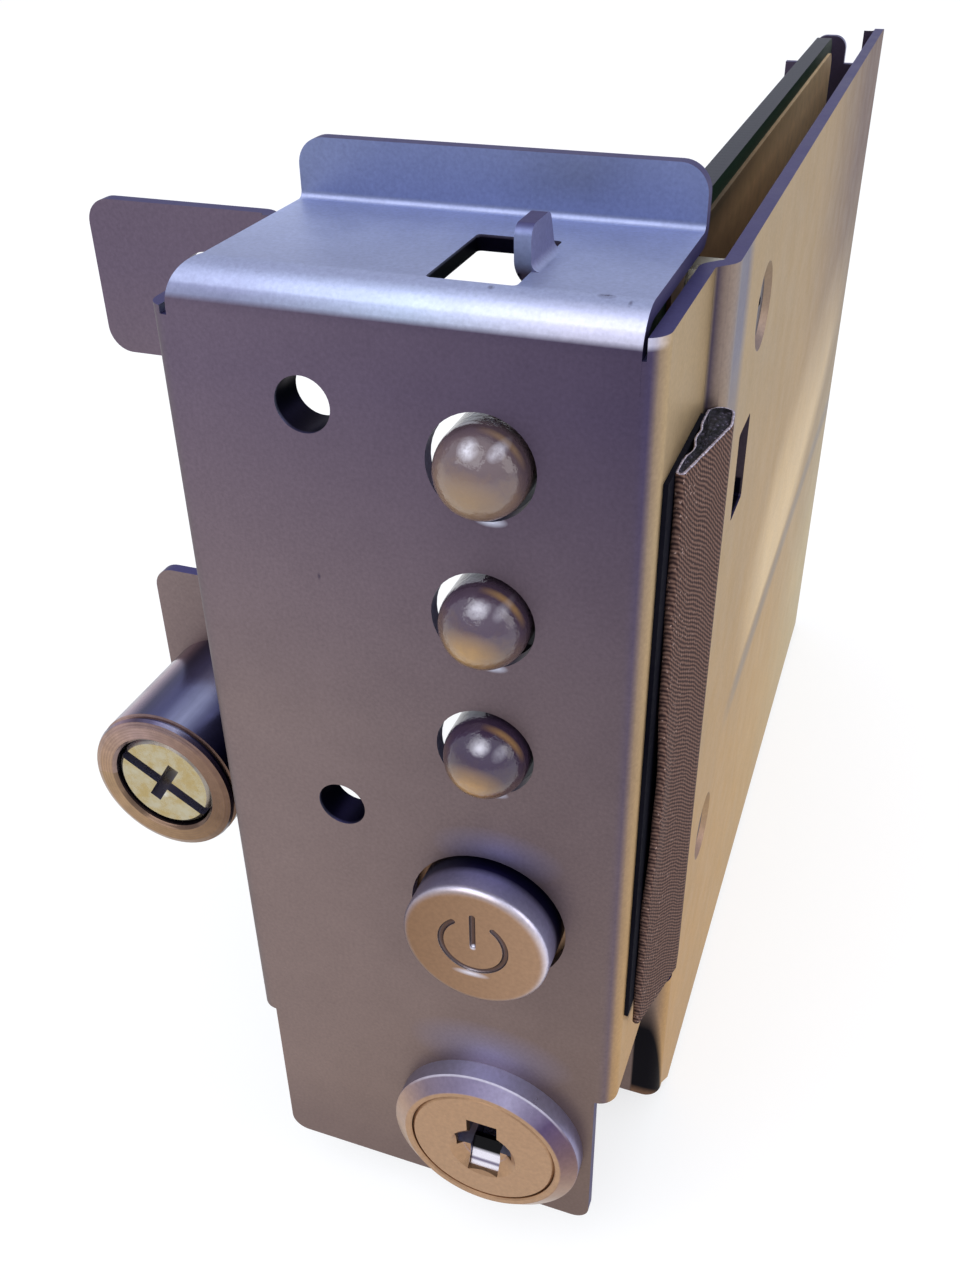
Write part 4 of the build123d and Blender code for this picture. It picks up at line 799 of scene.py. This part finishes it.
def gasket_dent(point, z):
    """How far a point of the section moves outward, in metres: creases near the cut ends on the
    wall side, and a front edge that stands off the wall halfway up."""
    back = along_gasket(point.y, 1)
    on_wall = max(0.0, 1.0 - along_gasket(point.x, 0) / 0.45)
    from_end = min(z - GASKET_LOW[2], GASKET_HIGH[2] - z)
    crease = hump(back, 0.36, 0.10) + 0.5 * hump(back, 0.62, 0.07)
    dent = CREASE_DEPTH * math.exp(-from_end / CREASE_REACH) * crease
    wave = WAVE * math.sin(z * 700 + back * 9)
    lift = LIFT * hump(along_gasket(z, 2), 0.50, 0.16) * hump(back, 0.0, 0.16)
    return on_wall * (dent + wave) + lift


def gasket_end(point, z):
    """The lower end is cut a little askew, higher at the front."""
    near = math.exp(-(z - GASKET_LOW[2]) / SLANT_REACH)
    return z + SLANT * near * (1.0 - along_gasket(point.y, 1))


def gasket():
    """The whole strip in one mesh: fabric outside, its cut edges, and foam at both ends."""
    outer, inner = gasket_outline(0.0), gasket_outline(FABRIC_THICK)
    bm = bmesh.new()
    low, high = GASKET_LOW[2], GASKET_HIGH[2]

    def ring(points, z, ragged=0.0):
        made = []
        for p in points:
            fray = random.uniform(-ragged, 0.0)
            made.append(bm.verts.new((p.x + gasket_dent(p, z), p.y, gasket_end(p, z) + fray)))
        return made

    def join(a, b, slot):
        for i in range(len(a)):
            j = (i + 1) % len(a)
            face = bm.faces.new((a[i], a[j], b[j], b[i]))
            face.material_index = slot
            face.smooth = True

    def end(rim, z, turn):
        """Cut edge, then rough foam that sits a little below it."""
        into = -turn * FOAM_SUNK
        lip = ring(inner, z)
        join(rim, lip, CUT_SLOT)
        previous = ring(inner, z + into)
        join(lip, previous, FOAM_SLOT)
        centre = sum(inner, Vector((0, 0))) / len(inner)
        for k in range(1, FOAM_RINGS):
            share = 1 - k / FOAM_RINGS
            now = []
            for p in (centre.lerp(q, share) for q in inner):
                rough = random.uniform(-0.00009, 0.00007)
                now.append(bm.verts.new((p.x + gasket_dent(p, z) * share, p.y,
                                         gasket_end(p, z) + into + rough)))
            join(previous, now, FOAM_SLOT)
            previous = now
        face = bm.faces.new(previous)
        face.material_index = FOAM_SLOT

    rims = []
    previous = None
    for i in range(GASKET_SLICES + 1):
        z = low + (high - low) * i / GASKET_SLICES
        at_end = i in (0, GASKET_SLICES)
        now = ring(outer, z, 0.00006 if at_end else 0.0)
        if at_end:
            rims.append((now, z))
        if previous:
            join(previous, now, FABRIC_SLOT)
        previous = now
    end(*rims[0], -1)
    end(*rims[1], 1)
    bmesh.ops.recalc_face_normals(bm, faces=bm.faces)
    mesh = bpy.data.meshes.new("gasket_strip")
    bm.to_mesh(mesh)
    bm.free()
    obj = bpy.data.objects.new("gasket_strip", mesh)
    bpy.context.collection.objects.link(obj)
    for material in (WEAVE, cut_fabric(), FOAM):
        mesh.materials.append(material)
    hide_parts("gasket_fabric", "gasket_foam")
    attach(obj, "panel")


gasket()

# Floor and sky: the tone of the shown floor and how much it glows, and the world's colours
FLOOR_SIZE = 3.0
FLOOR_BELOW = 0.0005
FLOOR_LIT = (0.86, 0.86, 0.86)
FLOOR_SHOWN = (0.34, 0.34, 0.34)
FLOOR_GLOW = 0.68
SKY_FRONT = (0.66, 0.66, 0.70)
SKY_BACK = (0.86, 0.90, 1.00)
SKY_TOP = (0.90, 0.94, 1.04)


def seen(n):
    """1 for a ray that shows the background: from the camera, a reflection or clear plastic."""
    path = n.add("ShaderNodeLightPath").outputs
    return n.most(*(path[ray] for ray in ("Is Camera Ray", "Is Glossy Ray", "Is Transmission Ray")))


def floor():
    """A pale floor that shows white and keeps the object's shadow."""
    mesh = bpy.data.meshes.new("floor")
    size, low = FLOOR_SIZE, CAD_BOX[0][2] - FLOOR_BELOW
    corners = [(-size, -size, low), (size, -size, low), (size, size, low), (-size, size, low)]
    mesh.from_pydata(corners, [], [(0, 1, 2, 3)])
    obj = bpy.data.objects.new("floor", mesh)
    bpy.context.collection.objects.link(obj)
    n = Nodes("floor_white")
    n.set(Roughness=0.9, Specular_IOR_Level=0.1, Emission_Color=(1, 1, 1, 1))
    shown = seen(n)
    n.to("Base Color", n.mix(shown, FLOOR_LIT, FLOOR_SHOWN))
    n.to("Emission Strength", n.times(shown, FLOOR_GLOW))
    mesh.materials.append(n.mat)


def sky():
    """Soft, pale world light, a little brighter above and behind."""
    world = bpy.data.worlds.new("studio")
    bpy.context.scene.world = world
    world.use_nodes = True
    tree = world.node_tree
    tree.nodes.clear()
    new, link = tree.nodes.new, tree.links.new
    split = new("ShaderNodeSeparateXYZ")
    link(new("ShaderNodeTexCoord").outputs["Generated"], split.inputs[0])

    def blend(value, low, high, a, b):
        """One colour below a value and another above a second one, softly blended."""
        share = new("ShaderNodeMapRange")
        share.interpolation_type = "SMOOTHSTEP"
        share.inputs["From Min"].default_value = low
        share.inputs["From Max"].default_value = high
        link(value, share.inputs["Value"])
        mix = new("ShaderNodeMix")
        mix.data_type = "RGBA"
        link(share.outputs[0], mix.inputs[0])
        for i, colour in ((6, a), (7, b)):
            if isinstance(colour, tuple):
                mix.inputs[i].default_value = (*colour, 1)
            else:
                link(colour, mix.inputs[i])
        return mix.outputs[2]

    round_about = blend(split.outputs["Y"], -0.6, 0.6, SKY_FRONT, SKY_BACK)
    light = new("ShaderNodeBackground")
    link(blend(split.outputs["Z"], 0.0, 0.9, round_about, SKY_TOP), light.inputs["Color"])
    out = new("ShaderNodeOutputWorld")
    link(light.outputs[0], out.inputs["Surface"])


def area(name, at, target, size, watts, colour):
    """A soft rectangular light that points at a target."""
    data = bpy.data.lights.new(name, "AREA")
    data.shape = "RECTANGLE"
    data.size, data.size_y = size
    data.energy = watts
    data.color = colour
    obj = bpy.data.objects.new(name, data)
    bpy.context.collection.objects.link(obj)
    obj.location = at
    obj.rotation_euler = (target - at).to_track_quat("-Z", "Y").to_euler()


floor()
sky()
CENTRE = place(18, 30, 40)
area("key_top", at=place(-120, -300, 560), target=CENTRE, size=(0.60, 0.50), watts=1.7,
     colour=(0.96, 0.98, 1.0))
area("fill_right", at=place(460, 60, 260), target=CENTRE, size=(0.35, 0.35), watts=0.5,
     colour=(1.0, 0.95, 0.88))

# The photograph's camera: where it stands in the row frame, how it is turned, and its lens
CAMERA_AT = (0.048246, -0.076643, 0.028037)
CAMERA_TURN = (0.869473, 0.462438, 0.088175, 0.149644)
SENSOR_HEIGHT, LENS = 36.0, 35.203
NEAR_CLIP = 0.002

camera = bpy.data.cameras.new("camera")
camera.sensor_fit = "VERTICAL"
camera.sensor_height = SENSOR_HEIGHT
camera.lens = LENS
camera.clip_start = NEAR_CLIP
view = bpy.data.objects.new("camera", camera)
bpy.context.collection.objects.link(view)
view.location = CAMERA_AT
view.rotation_mode = "QUATERNION"
view.rotation_quaternion = Quaternion(CAMERA_TURN)
bpy.context.scene.camera = view
bpy.context.scene.view_settings.view_transform = "Standard"
